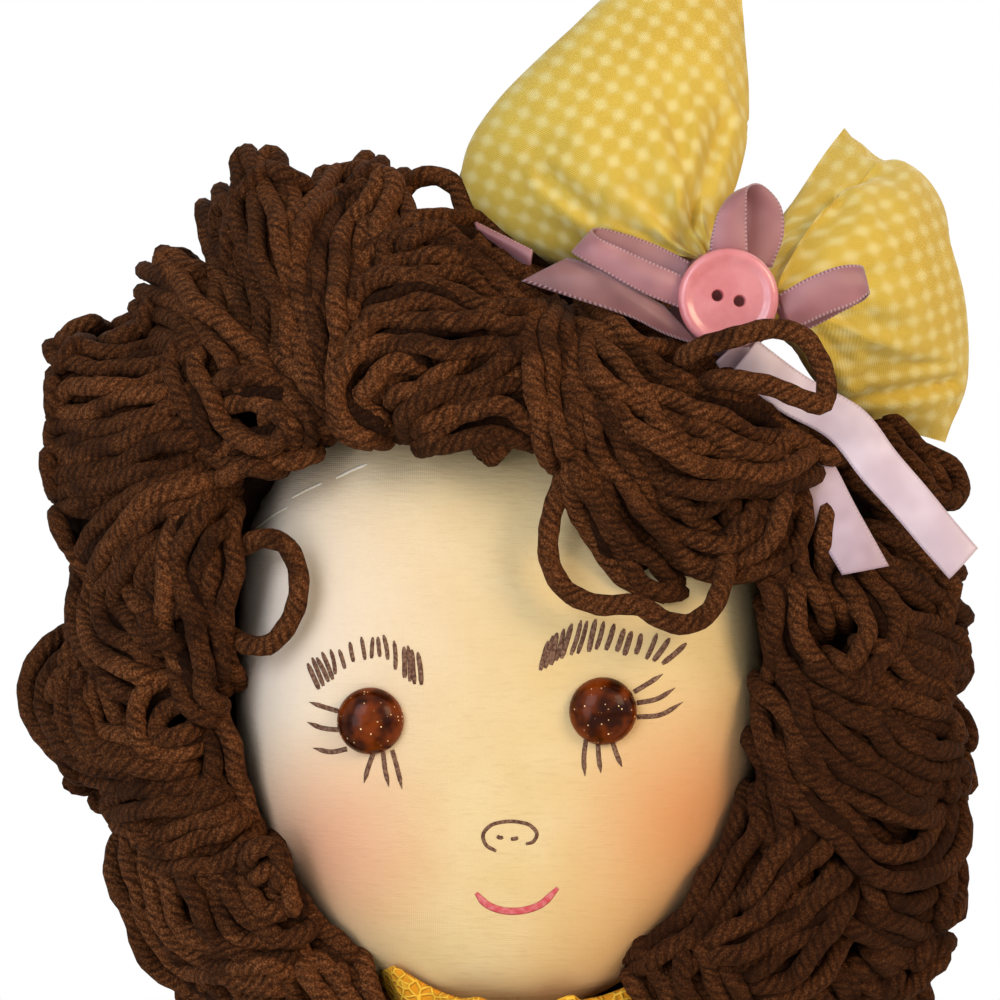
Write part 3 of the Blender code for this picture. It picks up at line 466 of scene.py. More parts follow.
def gingham(name, turn_degrees=0):
    """Cotton gingham: soft woven checks with a 4.75 mm repeat, palest where two pale stripes cross."""
    made, shader = material(name)
    turned = (0, 0, math.radians(turn_degrees))
    x, y, _ = split(made, add(made, "Mapping", Vector=cloth_map(made), Rotation=turned).outputs[0])
    stripes = [waves(made, v, GINGHAM_REPEAT) for v in (x, y)]
    both = sums(made, "MULTIPLY", sums(made, "ADD", *stripes), 0.5)
    where = place(made)
    deep = two_tone(made, noise(made, where, 18 * MM, 3), 0.3, 0.7, "#DEC24C", "#D5B640")
    colour = mix(made, ramp(made, both, -0.1, 0.7), linear("#E8D98A"), deep)
    weave = sums(made, "ADD", *(waves(made, v, GINGHAM_THREAD) for v in (x, y)))
    crease = noise(made, where, 7 * MM, 4)
    normal = bump(made, crease, 0.5 * MM, 0.5, bump(made, weave, 0.05 * MM))
    feed(made, shader, Base_Color=colour, Roughness=0.78, Sheen_Weight=0.2, Normal=normal)
    return made


def yarn():
    """Bulky acrylic yarn: four soft plies, 2.3 mm apart along the strand, and matted fibres, with painted
    shade in the depths, in the ply grooves, in blotches and at the low right, and painted highlights on the
    fibres.
    """
    made, shader = material("plied_yarn")
    # each strand's painted light: 0 for painted shade in the depths, 1 where the light falls
    painted_light = add(made, "Attribute", {"attribute_name": "painted_light"}).outputs["Fac"]
    u, v, _ = split(made, cloth_map(made))
    wound = sums(made, "MULTIPLY_ADD", u, YARN_PLIES * PLY_SPACING, v)
    where = place(made)
    wander = sums(made, "MULTIPLY", noise(made, where, 4 * MM, 2), 2.2 * MM)
    ply = waves(made, sums(made, "ADD", wound, wander), PLY_SPACING)
    fibre = noise(made, where, YARN_FIBRE, 4, roughness=0.75)
    # painted shade: strands that lie deep are near black
    colour = mix(made, painted_light, linear("#0A0402"), linear("#4D2912"))
    # painted highlights on the fibres, as strong as the strand's painted light
    lit = sums(made, "MULTIPLY", ramp(made, fibre, 0.42, 0.72), 0.8)
    colour = tint(made, colour, lit, painted_light, "#A86F44")
    # painted shade in the grooves between the plies, stronger in patches
    groove_shade_patches = ramp(made, noise(made, where, 3.2 * MM, 2), 0.35, 0.65)
    groove_shade = sums(made, "MULTIPLY_ADD", groove_shade_patches, 0.5, 0.27)
    colour = tint(made, colour, ramp(made, ply, 0.8, -0.1), groove_shade, "#170A04")
    # painted shadow in blotches about 11 mm across
    colour = tint(made, colour, ramp(made, noise(made, where, 11 * MM, 2), 0.5, 0.3), 0.6, "#1A0B05")
    # painted shade towards the hair's low right
    low_right_shade = ball_share(made, where, at_pixel(860, 880, -0.03), 120 * MM)
    colour = tint(made, colour, low_right_shade, 0.55, "#241006")
    normal = bump(made, fibre, 0.35 * MM, 0.8, bump(made, ply, 0.36 * MM))
    feed(made, shader, Base_Color=colour, Roughness=0.95, Sheen_Weight=0.12, Sheen_Roughness=0.5,
         Sheen_Tint=linear("#80583A"), Normal=normal, Specular_IOR_Level=0.08)
    return made


def satin(name, shade, light):
    """Satin ribbon: a smooth sheen across fine ribs, and a stitched selvage with 1.3 mm ticks."""
    made, shader = material(name)
    u, v, _ = split(made, cloth_map(made))
    selvage = ramp(made, sums(made, "ABSOLUTE", u), SELVAGE_START, SELVAGE_FULL)
    ticks = ramp(made, waves(made, v, SELVAGE_TICK), 0.45, 0.8)
    stitches = sums(made, "MULTIPLY", selvage, ticks)
    # a cloud between a darker and a lighter colour; each copy's pair is set lighter or darker as painted
    # light and shade
    colour = two_tone(made, noise(made, place(made), 14 * MM, 2), 0.3, 0.7, shade, light)
    colour = tint(made, colour, stitches, 0.6, "#D8BECA")
    height = sums(made, "MULTIPLY_ADD", waves(made, v, SATIN_RIB), 0.2, stitches)
    feed(made, shader, Base_Color=colour, Roughness=0.34, Anisotropic=0.7, Sheen_Weight=0.25,
         Normal=bump(made, height, 0.10 * MM), Specular_IOR_Level=0.6)
    return made


def lace():
    """Golden cotton lace: a net of small holes and raised cords, darker gold in the holes as painted shade.
    """
    made, shader = material("golden_lace")
    cells = add(made, "TexVoronoi", {"feature": "DISTANCE_TO_EDGE"}, Vector=place(made), Scale=1 / LACE_MESH)
    cord = ramp(made, cells.outputs["Distance"], 0.22, 0.04)
    # brighter gold on the cords, darker between them: painted shade in the holes
    colour = mix(made, cord, linear("#E59A08"), linear("#FFCB3A"))
    feed(made, shader, Base_Color=colour, Roughness=0.8, Normal=bump(made, cord, 0.5 * MM))
    return made


def pink_plastic():
    """Cast polyester button: pink with a pearly cloud and a polished skin."""
    made, shader = material("pink_button_plastic")
    colour = two_tone(made, noise(made, place(made), 7 * MM, 3), 0.3, 0.7, "#D27A80", "#DF9096")
    feed(made, shader, Base_Color=colour, Roughness=0.28, Coat_Weight=0.6, Coat_Roughness=0.12,
         Subsurface_Weight=0.25, Subsurface_Radius=(0.004, 0.002, 0.002), Subsurface_Scale=1)
    return made


def goldstone():
    """Brown glass with copper glitter: a few bright flecks of 0.3 mm under a clear polish, which also glow a
    little as painted glints.
    """
    made, shader = material("goldstone_bead")
    where = place(made)
    cells = add(made, "TexVoronoi", Vector=where, Scale=1 / GLITTER_SPACING)
    spark = ramp(made, split(made, cells.outputs["Color"])[0], 0.84, 0.99)
    fleck = sums(made, "MULTIPLY", spark, ramp(made, cells.outputs["Distance"], 0.32, 0.16))
    deep = two_tone(made, noise(made, where, 6 * MM, 2), 0.35, 0.65, "#2C0E02", "#78330A")
    colour = mix(made, fleck, deep, linear("#FFD9A0"))
    # the flecks glow: painted glints
    feed(made, shader, Base_Color=colour, Roughness=0.18, Metallic=sums(made, "MULTIPLY", fleck, 0.7),
         Specular_IOR_Level=0.08, Coat_Weight=0.06, Coat_Roughness=0.03, Emission_Color=linear("#FFC890"),
         Emission_Strength=sums(made, "MULTIPLY", fleck, 0.5))
    return made


def ink(name, hex_text, worn_hex="#9A7A64", size=0.6):
    """Pigment drawn on cloth: it sinks in, and is thinner where the weave stands up."""
    made, shader = material(name)
    colour = two_tone(made, noise(made, place(made), size * MM, 3), 0.35, 0.75, hex_text, worn_hex)
    feed(made, shader, Base_Color=colour, Roughness=0.9, Specular_IOR_Level=0.1)
    return made


def felt():
    """Wool felt: matted fibres with no weave."""
    made, shader = material("felt")
    fibres = noise(made, place(made), FELT_FIBRE, 5, roughness=0.7)
    colour = two_tone(made, fibres, 0.35, 0.7, "#6E4459", "#8A5A70")
    normal = bump(made, fibres, 0.4 * MM)
    feed(made, shader, Base_Color=colour, Roughness=0.95, Sheen_Weight=0.4, Normal=normal)
    return made


def floor_paint():
    """A plain pale floor."""
    made, shader = material("pale_floor")
    colour = mix(made, noise(made, place(made), 0.6, 2), linear("#F2F1EE"), linear("#F5F4F2"))
    feed(made, shader, Base_Color=colour, Roughness=0.9, Specular_IOR_Level=0.1)
    return made


# Head and face

def face_share(x, rise):
    """1 on the head's outline and 0 at its middle: an ellipse below, and a squarer curve above."""
    across = np.abs(np.asarray(x, float)) / HEAD_HALF[0]
    tall = np.abs(np.asarray(rise, float)) / np.where(np.asarray(rise) > 0, HEAD_HALF[2], HEAD_CHIN)
    power = 2 + (BROW_POWER - 2) * ease(np.asarray(rise) / HEAD_HALF[2] / 0.5)
    return (across ** power + tall ** power) ** (1 / power)


def face_depth(x, rise):
    """How far the cloth stands before the head's middle, with a dimple where each eye is sewn on."""
    share = np.minimum(1, face_share(x, rise))
    depth = HEAD_HALF[1] * np.sqrt(1 - share ** FACE_POWER)
    for low, high in (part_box("eye_left"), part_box("eye_right")):
        near = np.hypot(x - (low[0] + high[0]) / 2, rise + HEAD_MIDDLE[2] - (low[2] + high[2]) / 2)
        depth = depth - EYE_DIMPLE * np.exp(-(near / EYE_DIMPLE_RADIUS) ** 2)
    return depth


def seen_point(px, py, depth_at, first, looks):
    """The point of a surface at a pixel: the depth is found by repeated looks from the camera."""
    y = np.full(np.shape(px), first)
    for _ in range(looks):
        spot = at_pixel(px, py, y)
        y = depth_at(spot[..., 0], spot[..., 2] - HEAD_MIDDLE[2])
    return at_pixel(px, py, y)


def face_point(px, py, lift):
    """The point of the face at a pixel, lifted off the cloth."""
    return seen_point(px, py, lambda x, rise: HEAD_MIDDLE[1] - face_depth(x, rise) - lift, -HEAD_HALF[1], 8)


def make_head(cloth):
    """The stuffed head: rings over an egg whose front is the face's depth formula."""
    level = np.linspace(-np.pi / 2, np.pi / 2, HEAD_RINGS)[:, None]
    turn = full_turn(HEAD_SIDES)[None, :]
    x = HEAD_HALF[0] * np.cos(level) * np.cos(turn)
    rise = np.where(level > 0, HEAD_HALF[2], HEAD_CHIN) * np.sin(level) + 0 * turn
    out = np.hypot(x, rise)
    round_share = np.hypot(x / HEAD_HALF[0], rise / np.where(rise > 0, HEAD_HALF[2], HEAD_CHIN))
    grow = np.where(out > 1e-6, round_share / np.maximum(face_share(x, rise), 1e-6), 1)
    x, rise = x * grow, rise * grow
    back = HEAD_HALF[1] * np.cos(level) * np.sin(turn)
    y = np.where(turn <= np.pi, back, -face_depth(x, rise))
    points = np.stack([x, y, rise], axis=2) + HEAD_MIDDLE
    head = grid_piece("head_cloth", points, cloth, "head", slot="muslin", nodes=("head",),
                      weld=1e-5)


# A drawn line's section, and how far it stands on and off the cloth
STROKE_SHAPE = np.array(((-1, 0), (-0.6, 0.8), (0, 1), (0.6, 0.8), (1, 0), (0, -0.6)))
STROKE_LIFT = 0.05 * MM
STROKE_HEIGHT = 0.13 * MM


def stroke(points, wide, count=14, thin_start=0.3, thin_end=0.15):
    """A flat drawn line on the face through pixels, full in its middle and thin at its ends."""
    pixels = even_curve(points, count=count)
    path = face_point(pixels[:, 0], pixels[:, 1], STROKE_LIFT)
    outward = unit((path - HEAD_MIDDLE) * (0.35, 1, 0.25))
    across = unit(np.cross(np.gradient(path, axis=0), outward))
    t = np.linspace(0, 1, count)
    full = np.minimum(1, np.minimum(thin_start + t * 5, thin_end + (1 - t) * 3.5))
    half = (wide * MM / 2 * full)[:, None, None]
    side = across[:, None] * STROKE_SHAPE[None, :, :1] * half
    high = outward[:, None] * STROKE_SHAPE[None, :, 1:] * STROKE_HEIGHT
    return path[:, None] + side + high


def draw(name, strokes, pigment):
    """One piece made of many drawn lines."""
    fix_normals(mesh_piece(name, *joined(strokes), pigment, "head"))


# Each brow stroke, from its foot to its tip in pixels: a thick cluster at both ends of the left brow
BROW_LEFT = (
    ((319, 688), (306, 664)), ((323, 686), (311, 660)), ((328, 682), (317, 657)), ((333, 679), (323, 654)),
    ((337, 675), (331, 651)), ((344, 669), (340, 649)), ((353, 661), (350, 643)), ((364, 661), (362, 638)),
    ((371, 659), (371, 636)), ((379, 658), (377, 636)), ((388, 659), (384, 635)), ((396, 669), (394, 640)),
    ((404, 678), (403, 645)), ((409, 681), (408, 647)), ((414, 683), (414, 650)), ((420, 683), (420, 653)),
)
BROW_RIGHT = (
    ((540, 671), (548, 641)), ((545, 668), (553, 636)), ((550, 665), (559, 631)), ((556, 661), (566, 627)),
    ((562, 658), (573, 624)), ((570, 655), (580, 621)), ((579, 653), (588, 620)), ((588, 651), (596, 620)),
    ((597, 650), (604, 621)), ((606, 650), (613, 623)), ((615, 651), (622, 626)), ((624, 655), (631, 631)),
    ((636, 655), (641, 634)), ((646, 659), (657, 634)), ((653, 661), (669, 640)), ((663, 664), (687, 643)),
)


def brow_line(foot, tip):
    """The pixels of one brow stroke, bent a little, with its ends shaken by about a pixel."""
    foot, tip = np.array(foot) + RANDOM.normal(0, 0.9, 2), np.array(tip) + RANDOM.normal(0, 1.3, 2)
    return [foot, (foot + tip) / 2 + (RANDOM.uniform(-0.3, 1.2), 0), tip]


def make_face():
    """The drawn features: brows, lashes, nose and mouth, and the stitches of the forehead seam."""
    marker = ink("marker_ink", "#5B3F34")
    for name, strokes, wide in (("brow_left", BROW_LEFT, 1.15), ("brow_right", BROW_RIGHT, 1.25)):
        draw(name, [stroke(brow_line(foot, tip), wide * RANDOM.uniform(0.8, 1.1), 8, 0.6, 0.4)
                    for foot, tip in strokes], marker)
    lashes = [
        [(341, 712), (324, 707), (309, 702)],
        [(340, 730), (322, 728), (307, 722)],
        [(347, 749), (331, 752), (313, 748)],
        [(373, 754), (368, 768), (364, 783)],
        [(383, 752), (385, 770), (389, 787)],
        [(392, 750), (397, 768), (402, 789)],
        [(634, 692), (649, 683), (663, 674)],
        [(637, 703), (657, 699), (675, 688)],
        [(637, 717), (660, 715), (683, 702)],
        [(586, 740), (584, 757), (585, 776)],
        [(598, 744), (599, 758), (601, 773)],
        [(613, 743), (617, 755), (622, 767)],
    ]
    draw("lashes", [stroke(line, 1.1, 12, 1.0, 0.1) for line in lashes], marker)
    nose = [(496, 851), (486, 845), (483, 835), (490, 826), (503, 822), (518, 822), (531, 826), (537, 834),
            (533, 842), (526, 844)]
    nostrils = [[(497, 836), (500, 838), (503, 837)], [(511, 839), (514, 839), (518, 838)]]
    lines = [stroke(nose, 0.85, 40, 0.8, 0.8)] + [stroke(line, 0.9, 6, 0.8, 0.8) for line in nostrils]
    draw("nose", lines, marker)
    mouth = [(476, 893), (486, 904), (500, 910), (520, 911), (540, 905), (558, 888)]
    draw("mouth", [stroke(mouth, 1.75, 30, 0.5, 0.5)], ink("coral_paint", "#D2555E", "#E08A8E", 1.5))
    seams = [[(256, 528), (270, 517), (287, 507)], [(291, 498), (306, 490), (322, 483)],
             [(336, 478), (350, 471), (367, 464)]]
    thread = ink("seam_thread", "#FFFAEC", "#F6EBCB")
    draw("forehead_seam", [stroke(line, 0.8, 10, 0.6, 0.6) for line in seams], thread)


# The bead eyes: how much wider than the solid, how far out of the cloth, and the dome's height in mm
BEAD_GROWTH = 0.25 * MM
BEAD_SEAT = 0.9 * MM
BEAD_HEIGHT = 4.9


def make_eye(name, bead):
    """A domed bead: a quarter ellipse turned about a line square to the face where the CAD bead sits."""
    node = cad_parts[name]
    spots = np.array([node.matrix_world @ v.co for v in node.data.vertices])
    middle = (spots.min(axis=0) + spots.max(axis=0)) / 2
    low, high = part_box(name)
    radius = (high[0] - low[0] + high[2] - low[2]) / 4 + BEAD_GROWTH
    x, rise = middle[0] - HEAD_MIDDLE[0], middle[2] - HEAD_MIDDLE[2]
    step = 1 * MM
    slope_x = (face_depth(x + step, rise) - face_depth(x - step, rise)) / (2 * step)
    slope_z = (face_depth(x, rise + step) - face_depth(x, rise - step)) / (2 * step)
    outward = unit(np.array((-0.35 * slope_x, -1, -0.45 * slope_z)))
    across = unit(np.cross(outward, (0, 0, 1)))
    up = np.cross(across, outward)
    turn = full_turn(64)
    ring = np.cos(turn)[:, None] * across + np.sin(turn)[:, None] * up
    dome = np.linspace(0, np.pi / 2, 24)[1:-1]
    profile = [(0.02, -1.3), (0.84, -1.3), (0.97, -0.7), (1, 0)]
    profile += [(math.cos(a) ** 0.9, BEAD_HEIGHT * math.sin(a)) for a in dome] + [(0.004, BEAD_HEIGHT)]
    seat = np.array((middle[0], HEAD_MIDDLE[1] - face_depth(x, rise), middle[2])) + outward * BEAD_SEAT
    points = np.stack([seat + ring * radius * r + outward * h * MM for r, h in profile])
    grid_piece(name + "_bead", points, bead, "head", slot="eye_bead", nodes=(name,))


# Yarn hair

YARN_RADIUS = 2.3 * MM
YARN_STEP = 1.6 * MM
YARN_SIDES = 9
TUCK = 9 * MM
LOOP_RADIUS = 4.0 * MM
LEAST_BEND = 1.3 * YARN_RADIUS

# How far the hair stands from the middle of the head at each clock angle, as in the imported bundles
HAIR_FULLEST_REACH = 140 * MM
HAIR_NAPE_REACH = 82 * MM
HAIR_CLOCK_DEGREES = (
    -56, -45, -36, -28, -14, 0, 14, 27, 40, 52, 66, 80, 92, 98, 102, 108, 114,
    119, 123, 128, 134, 142, 151, 159, 164, 171, 180, 188, 195, 201, 209, 217, 225, 236,
)
HAIR_REACH_SHARES = (
    0.69, 0.79, 0.85, 0.86, 0.80, 0.77, 0.79, 0.80, 0.69, 0.68, 0.69, 0.70, 0.80, 0.89, 0.92, 0.89, 0.99,
    0.96, 0.85, 0.94, 0.88, 0.96, 0.89, 0.82, 0.74, 0.74, 0.77, 0.77, 0.71, 0.69, 0.71, 0.72, 0.71, 0.68,
)

# The crown's gap: its clock angle, how much the outline dips, and its half width in degrees
TOP_GAP_CLOCK = 98.5
TOP_GAP_SHARE = 0.2
TOP_GAP_DEGREES = 4.5

# Reach of the face's edge to the side, up and down, and of the hair before and behind the head's middle
FACE_EDGE = (58 * MM, 54 * MM, 70 * MM)
CAP_EDGE_SHARE = 1.13
HAIR_FRONT = 29 * MM
HAIR_FRONT_ABOVE = 21 * MM
HAIR_BACK = 84 * MM

# Angles from straight ahead: where the back hair starts, over which it falls, and where it rounds to the pole
HAIR_SIDE_POLAR = math.radians(92)
HAIR_FALL_POLAR = math.radians(36)
HAIR_ROUND_POLAR = math.radians(128)
HAIR_FALL_SHARE = 0.10

# The front hair's swell, from the face's edge at 0 to the outline at 1
HAIR_SWELL_PLACES = (-0.4, -0.1, 0.25, 0.5, 0.75, 1.0, 1.15)
HAIR_SWELL_SHARES = (0.78, 0.92, 1.0, 0.90, 0.64, 0.14, -0.10)


def silhouette(x, rise):
    """How far the hair's outline stands from the head's middle: under the chin it falls to the nape."""
    clock = np.degrees(np.arctan2(rise, x)) % 360
    reach = HAIR_FULLEST_REACH * np.interp(clock, HAIR_CLOCK_DEGREES, HAIR_REACH_SHARES, period=360)
    first, last = HAIR_CLOCK_DEGREES[-1], 360 + HAIR_CLOCK_DEGREES[0]
    low = np.sin(np.pi * np.clip((clock - first) / (last - first), 0, 1))
    return reach + (HAIR_NAPE_REACH - reach) * low


def thin_outline(x, rise):
    """The outline of the deeper hair, which dips where one loose loop on the crown lets light through."""
    off = (np.degrees(np.arctan2(rise, x)) - TOP_GAP_CLOCK) / TOP_GAP_DEGREES
    return silhouette(x, rise) * (1 - TOP_GAP_SHARE * np.exp(-off ** 2))


def hair_front(x, rise):
    """The depth of the hair's front face: it swells just outside the face and falls back to its outline."""
    r = np.hypot(x, rise) + 1e-9
    tall = np.where(rise > 0, FACE_EDGE[1], FACE_EDGE[2])
    edge = 1 / np.hypot(x / r / FACE_EDGE[0], rise / r / tall)
    share = (r - edge) / (silhouette(x, rise) - edge)
    full = HAIR_FRONT + HAIR_FRONT_ABOVE * np.maximum(0, rise / r) ** 2
    return -full * np.interp(share, HAIR_SWELL_PLACES, HAIR_SWELL_SHARES)


def fallen(polar):
    """The share of the side's reach that is left at an angle from straight ahead."""
    fall = np.clip((polar - HAIR_SIDE_POLAR) / HAIR_FALL_POLAR, 0, 1)
    return 1 - HAIR_FALL_SHARE * fall * fall


def hair_back(x, rise):
    """The depth of the hair's back face: its reach from the head's middle, found by halving the angle."""
    side, far_out = silhouette(x, rise), np.hypot(x, rise)
    near, far = np.full(np.shape(far_out), HAIR_SIDE_POLAR), np.full(np.shape(far_out), np.pi)
    for _ in range(16):
        polar = (near + far) / 2
        reach = side * fallen(polar)
        rounding = ease((polar - HAIR_ROUND_POLAR) / (np.pi - HAIR_ROUND_POLAR))
        reach = reach + (HAIR_BACK - reach) * rounding
        outside = reach * np.sin(polar) > far_out
        near, far = np.where(outside, polar, near), np.where(outside, far, polar)
    return -reach * np.cos(polar)


def hair_point(pixels, lift):
    """Points on the hair's front face at pixels, lifted off it."""
    return seen_point(*pixels.T, lambda x, rise: hair_front(x, rise) - lift, -HAIR_FRONT, 5)


def bend_round(start, reach, ahead, across):
    """A half circle from a start, out along one direction and over along the other."""
    angle = np.linspace(0, np.pi, 7)[1:-1, None]
    return start + ahead * reach * np.sin(angle) + across * (1 - np.cos(angle))


def turned_back(path):
    """A strand's path carried round a bend at its tip and a little way back behind itself."""
    back = np.array((0, LOOP_RADIUS, 0))
    bend = bend_round(path[-1], LOOP_RADIUS, unit(path[-1] - path[-4]), back)
    behind = path[::-1][: max(4, len(path) // 3)]
    deeper = np.linspace(2, 3.6, len(behind))[:, None]
    return np.concatenate([path, bend, behind + back * deeper])


def looped(out, home):
    """Two strands' paths joined by a bend at their tips, as one loop of yarn."""
    half = (home[-1] - out[-1]) / 2
    reach = max(np.linalg.norm(half), LEAST_BEND)
    bend = bend_round(out[-1], reach, unit(out[-1] - out[-4] + home[-1] - home[-4]), half)
    return np.concatenate([out, bend, home[::-1]])


# How a lock's strands lie, in pixels: between points, sideways sway, the lengths of a sway and of a roll,
# and the shortest lock whose loops end at different places
LOCK_STEP = 6
SWAY = 4.5
SWAY_LENGTHS = (110, 190)
ROLL_LENGTHS = (120, 200)
LONG_LOCK = 90

# The same in mm: the rise of the lock's middle, the drop of each layer, and the roll
LOCK_CROWN = 1.6
LAYER_DROP = 3.6
ROLL = 1.5

# How much of a strand dives under at its start and end, and the painted light of the upper layer, and of the
# lower one where it is looped and where it isn't: from 0, painted shade, to 1, lit
TUCKED_SHARE = 0.16
TUCKED_END_SHARE = 0.14
TOP_PAINTED_LIGHT = (0.4, 1.1)
TIP_PAINTED_LIGHT = (0.4, 0.7)
DEEP_PAINTED_LIGHT = (0.1, 0.3)


def strand_path(centre, across, offset, share, layer, lift, tip):
    """One strand of a lock: it sways beside the guide, and rolls over and under its neighbours."""
    t = np.linspace(0, 1, len(centre))
    length = len(centre) * LOCK_STEP
    phase = RANDOM.uniform(0, 2 * np.pi, 4)
    turns = length / RANDOM.uniform(*SWAY_LENGTHS)
    sway = np.sin(2 * np.pi * t * turns + phase[0]) + 0.45 * np.sin(4.4 * np.pi * t * turns + phase[2])
    pixels = centre + across * (offset + SWAY * sway)[:, None]
    crown = LOCK_CROWN * (1 - 4 * share * share) - LAYER_DROP * layer
    rolls = ROLL * np.sin(2 * np.pi * t * length / RANDOM.uniform(*ROLL_LENGTHS) + phase[1])
    path = hair_point(pixels, (lift + crown + rolls + RANDOM.uniform(-0.7, 0.7)) * MM)
    path[:, 1] += TUCK * (1 - ease(t / TUCKED_SHARE))
    if not tip:
        path[:, 1] += TUCK * ease((t - 1) / TUCKED_END_SHARE + 1)
    elif length > LONG_LOCK:
        path = path[: len(path) - 2 * RANDOM.integers(0, 3)]
    return path


def lock(guide, count, start_wide, end_wide, lift, tip):
    """Strands side by side along a guide of pixels, in layers, each tucked in or looped at its tip."""
    centre = even_curve(guide, step=LOCK_STEP)
    ahead = np.gradient(centre, axis=0)
    across = unit(np.stack([-ahead[:, 1], ahead[:, 0]], axis=1))
    wide = start_wide + (end_wide - start_wide) * np.linspace(0, 1, len(centre))
    strands = []
    for layer in range(2):
        painted_light_values = TOP_PAINTED_LIGHT if layer == 0 else TIP_PAINTED_LIGHT if tip else DEEP_PAINTED_LIGHT
        total = max(1, count - layer)
        shares = [(k - (total - 1) / 2) / max(1, count - 1) for k in range(total)]
        paths = [strand_path(centre, across, share * wide, share, layer, lift, tip) for share in shares]
        while tip and paths:
            one = paths.pop()
            loop = looped(one, paths.pop()) if paths and layer == 0 else turned_back(one)
            strands.append((even_curve(loop[::2], step=YARN_STEP), RANDOM.uniform(*painted_light_values)))
        strands += [(even_curve(path[::2] if len(path) > 12 else path, step=YARN_STEP),
                     RANDOM.uniform(*painted_light_values)) for path in paths]
    return strands


def yarn_piece(name, strands, wool, nodes=()):
    """Many strands as one mesh: a round ring carried along every path; UV in shares round and metres along.

    Each strand comes with its painted light, from 0 for painted shade in the depths to 1 where the light
    falls.
    """
    turn = full_turn(YARN_SIDES)[None, :, None]
    tubes, uvs, painted_light_values = [], [], []
    for path, painted_light in strands:
        side, up = side_frames(path)
        count = len(path)
        near_end = np.minimum(np.arange(count), np.arange(count)[::-1])
        swell = 1 + 0.05 * np.sin(np.arange(count) * 1.7 + RANDOM.uniform(0, 6))
        radius = YARN_RADIUS * RANDOM.uniform(0.94, 1.08) * np.minimum(1, 0.35 + near_end * 0.5) * swell
        around = np.cos(turn) * side[:, None] + np.sin(turn) * up[:, None]
        tubes.append(path[:, None] + radius[:, None, None] * around)
        u, v = np.meshgrid(np.linspace(0, 1, YARN_SIDES + 1), np.arange(count) * YARN_STEP)
        uvs.append(corner_places(np.stack([u, v + RANDOM.uniform(0, 1) * PLY_SPACING], axis=2)))
        painted_light_values.append(np.full(count * YARN_SIDES, painted_light))
    return mesh_piece(name, *joined(tubes), wool, "head", uv=np.concatenate(uvs),
                      values={"painted_light": np.concatenate(painted_light_values)}, slot="yarn", nodes=nodes)


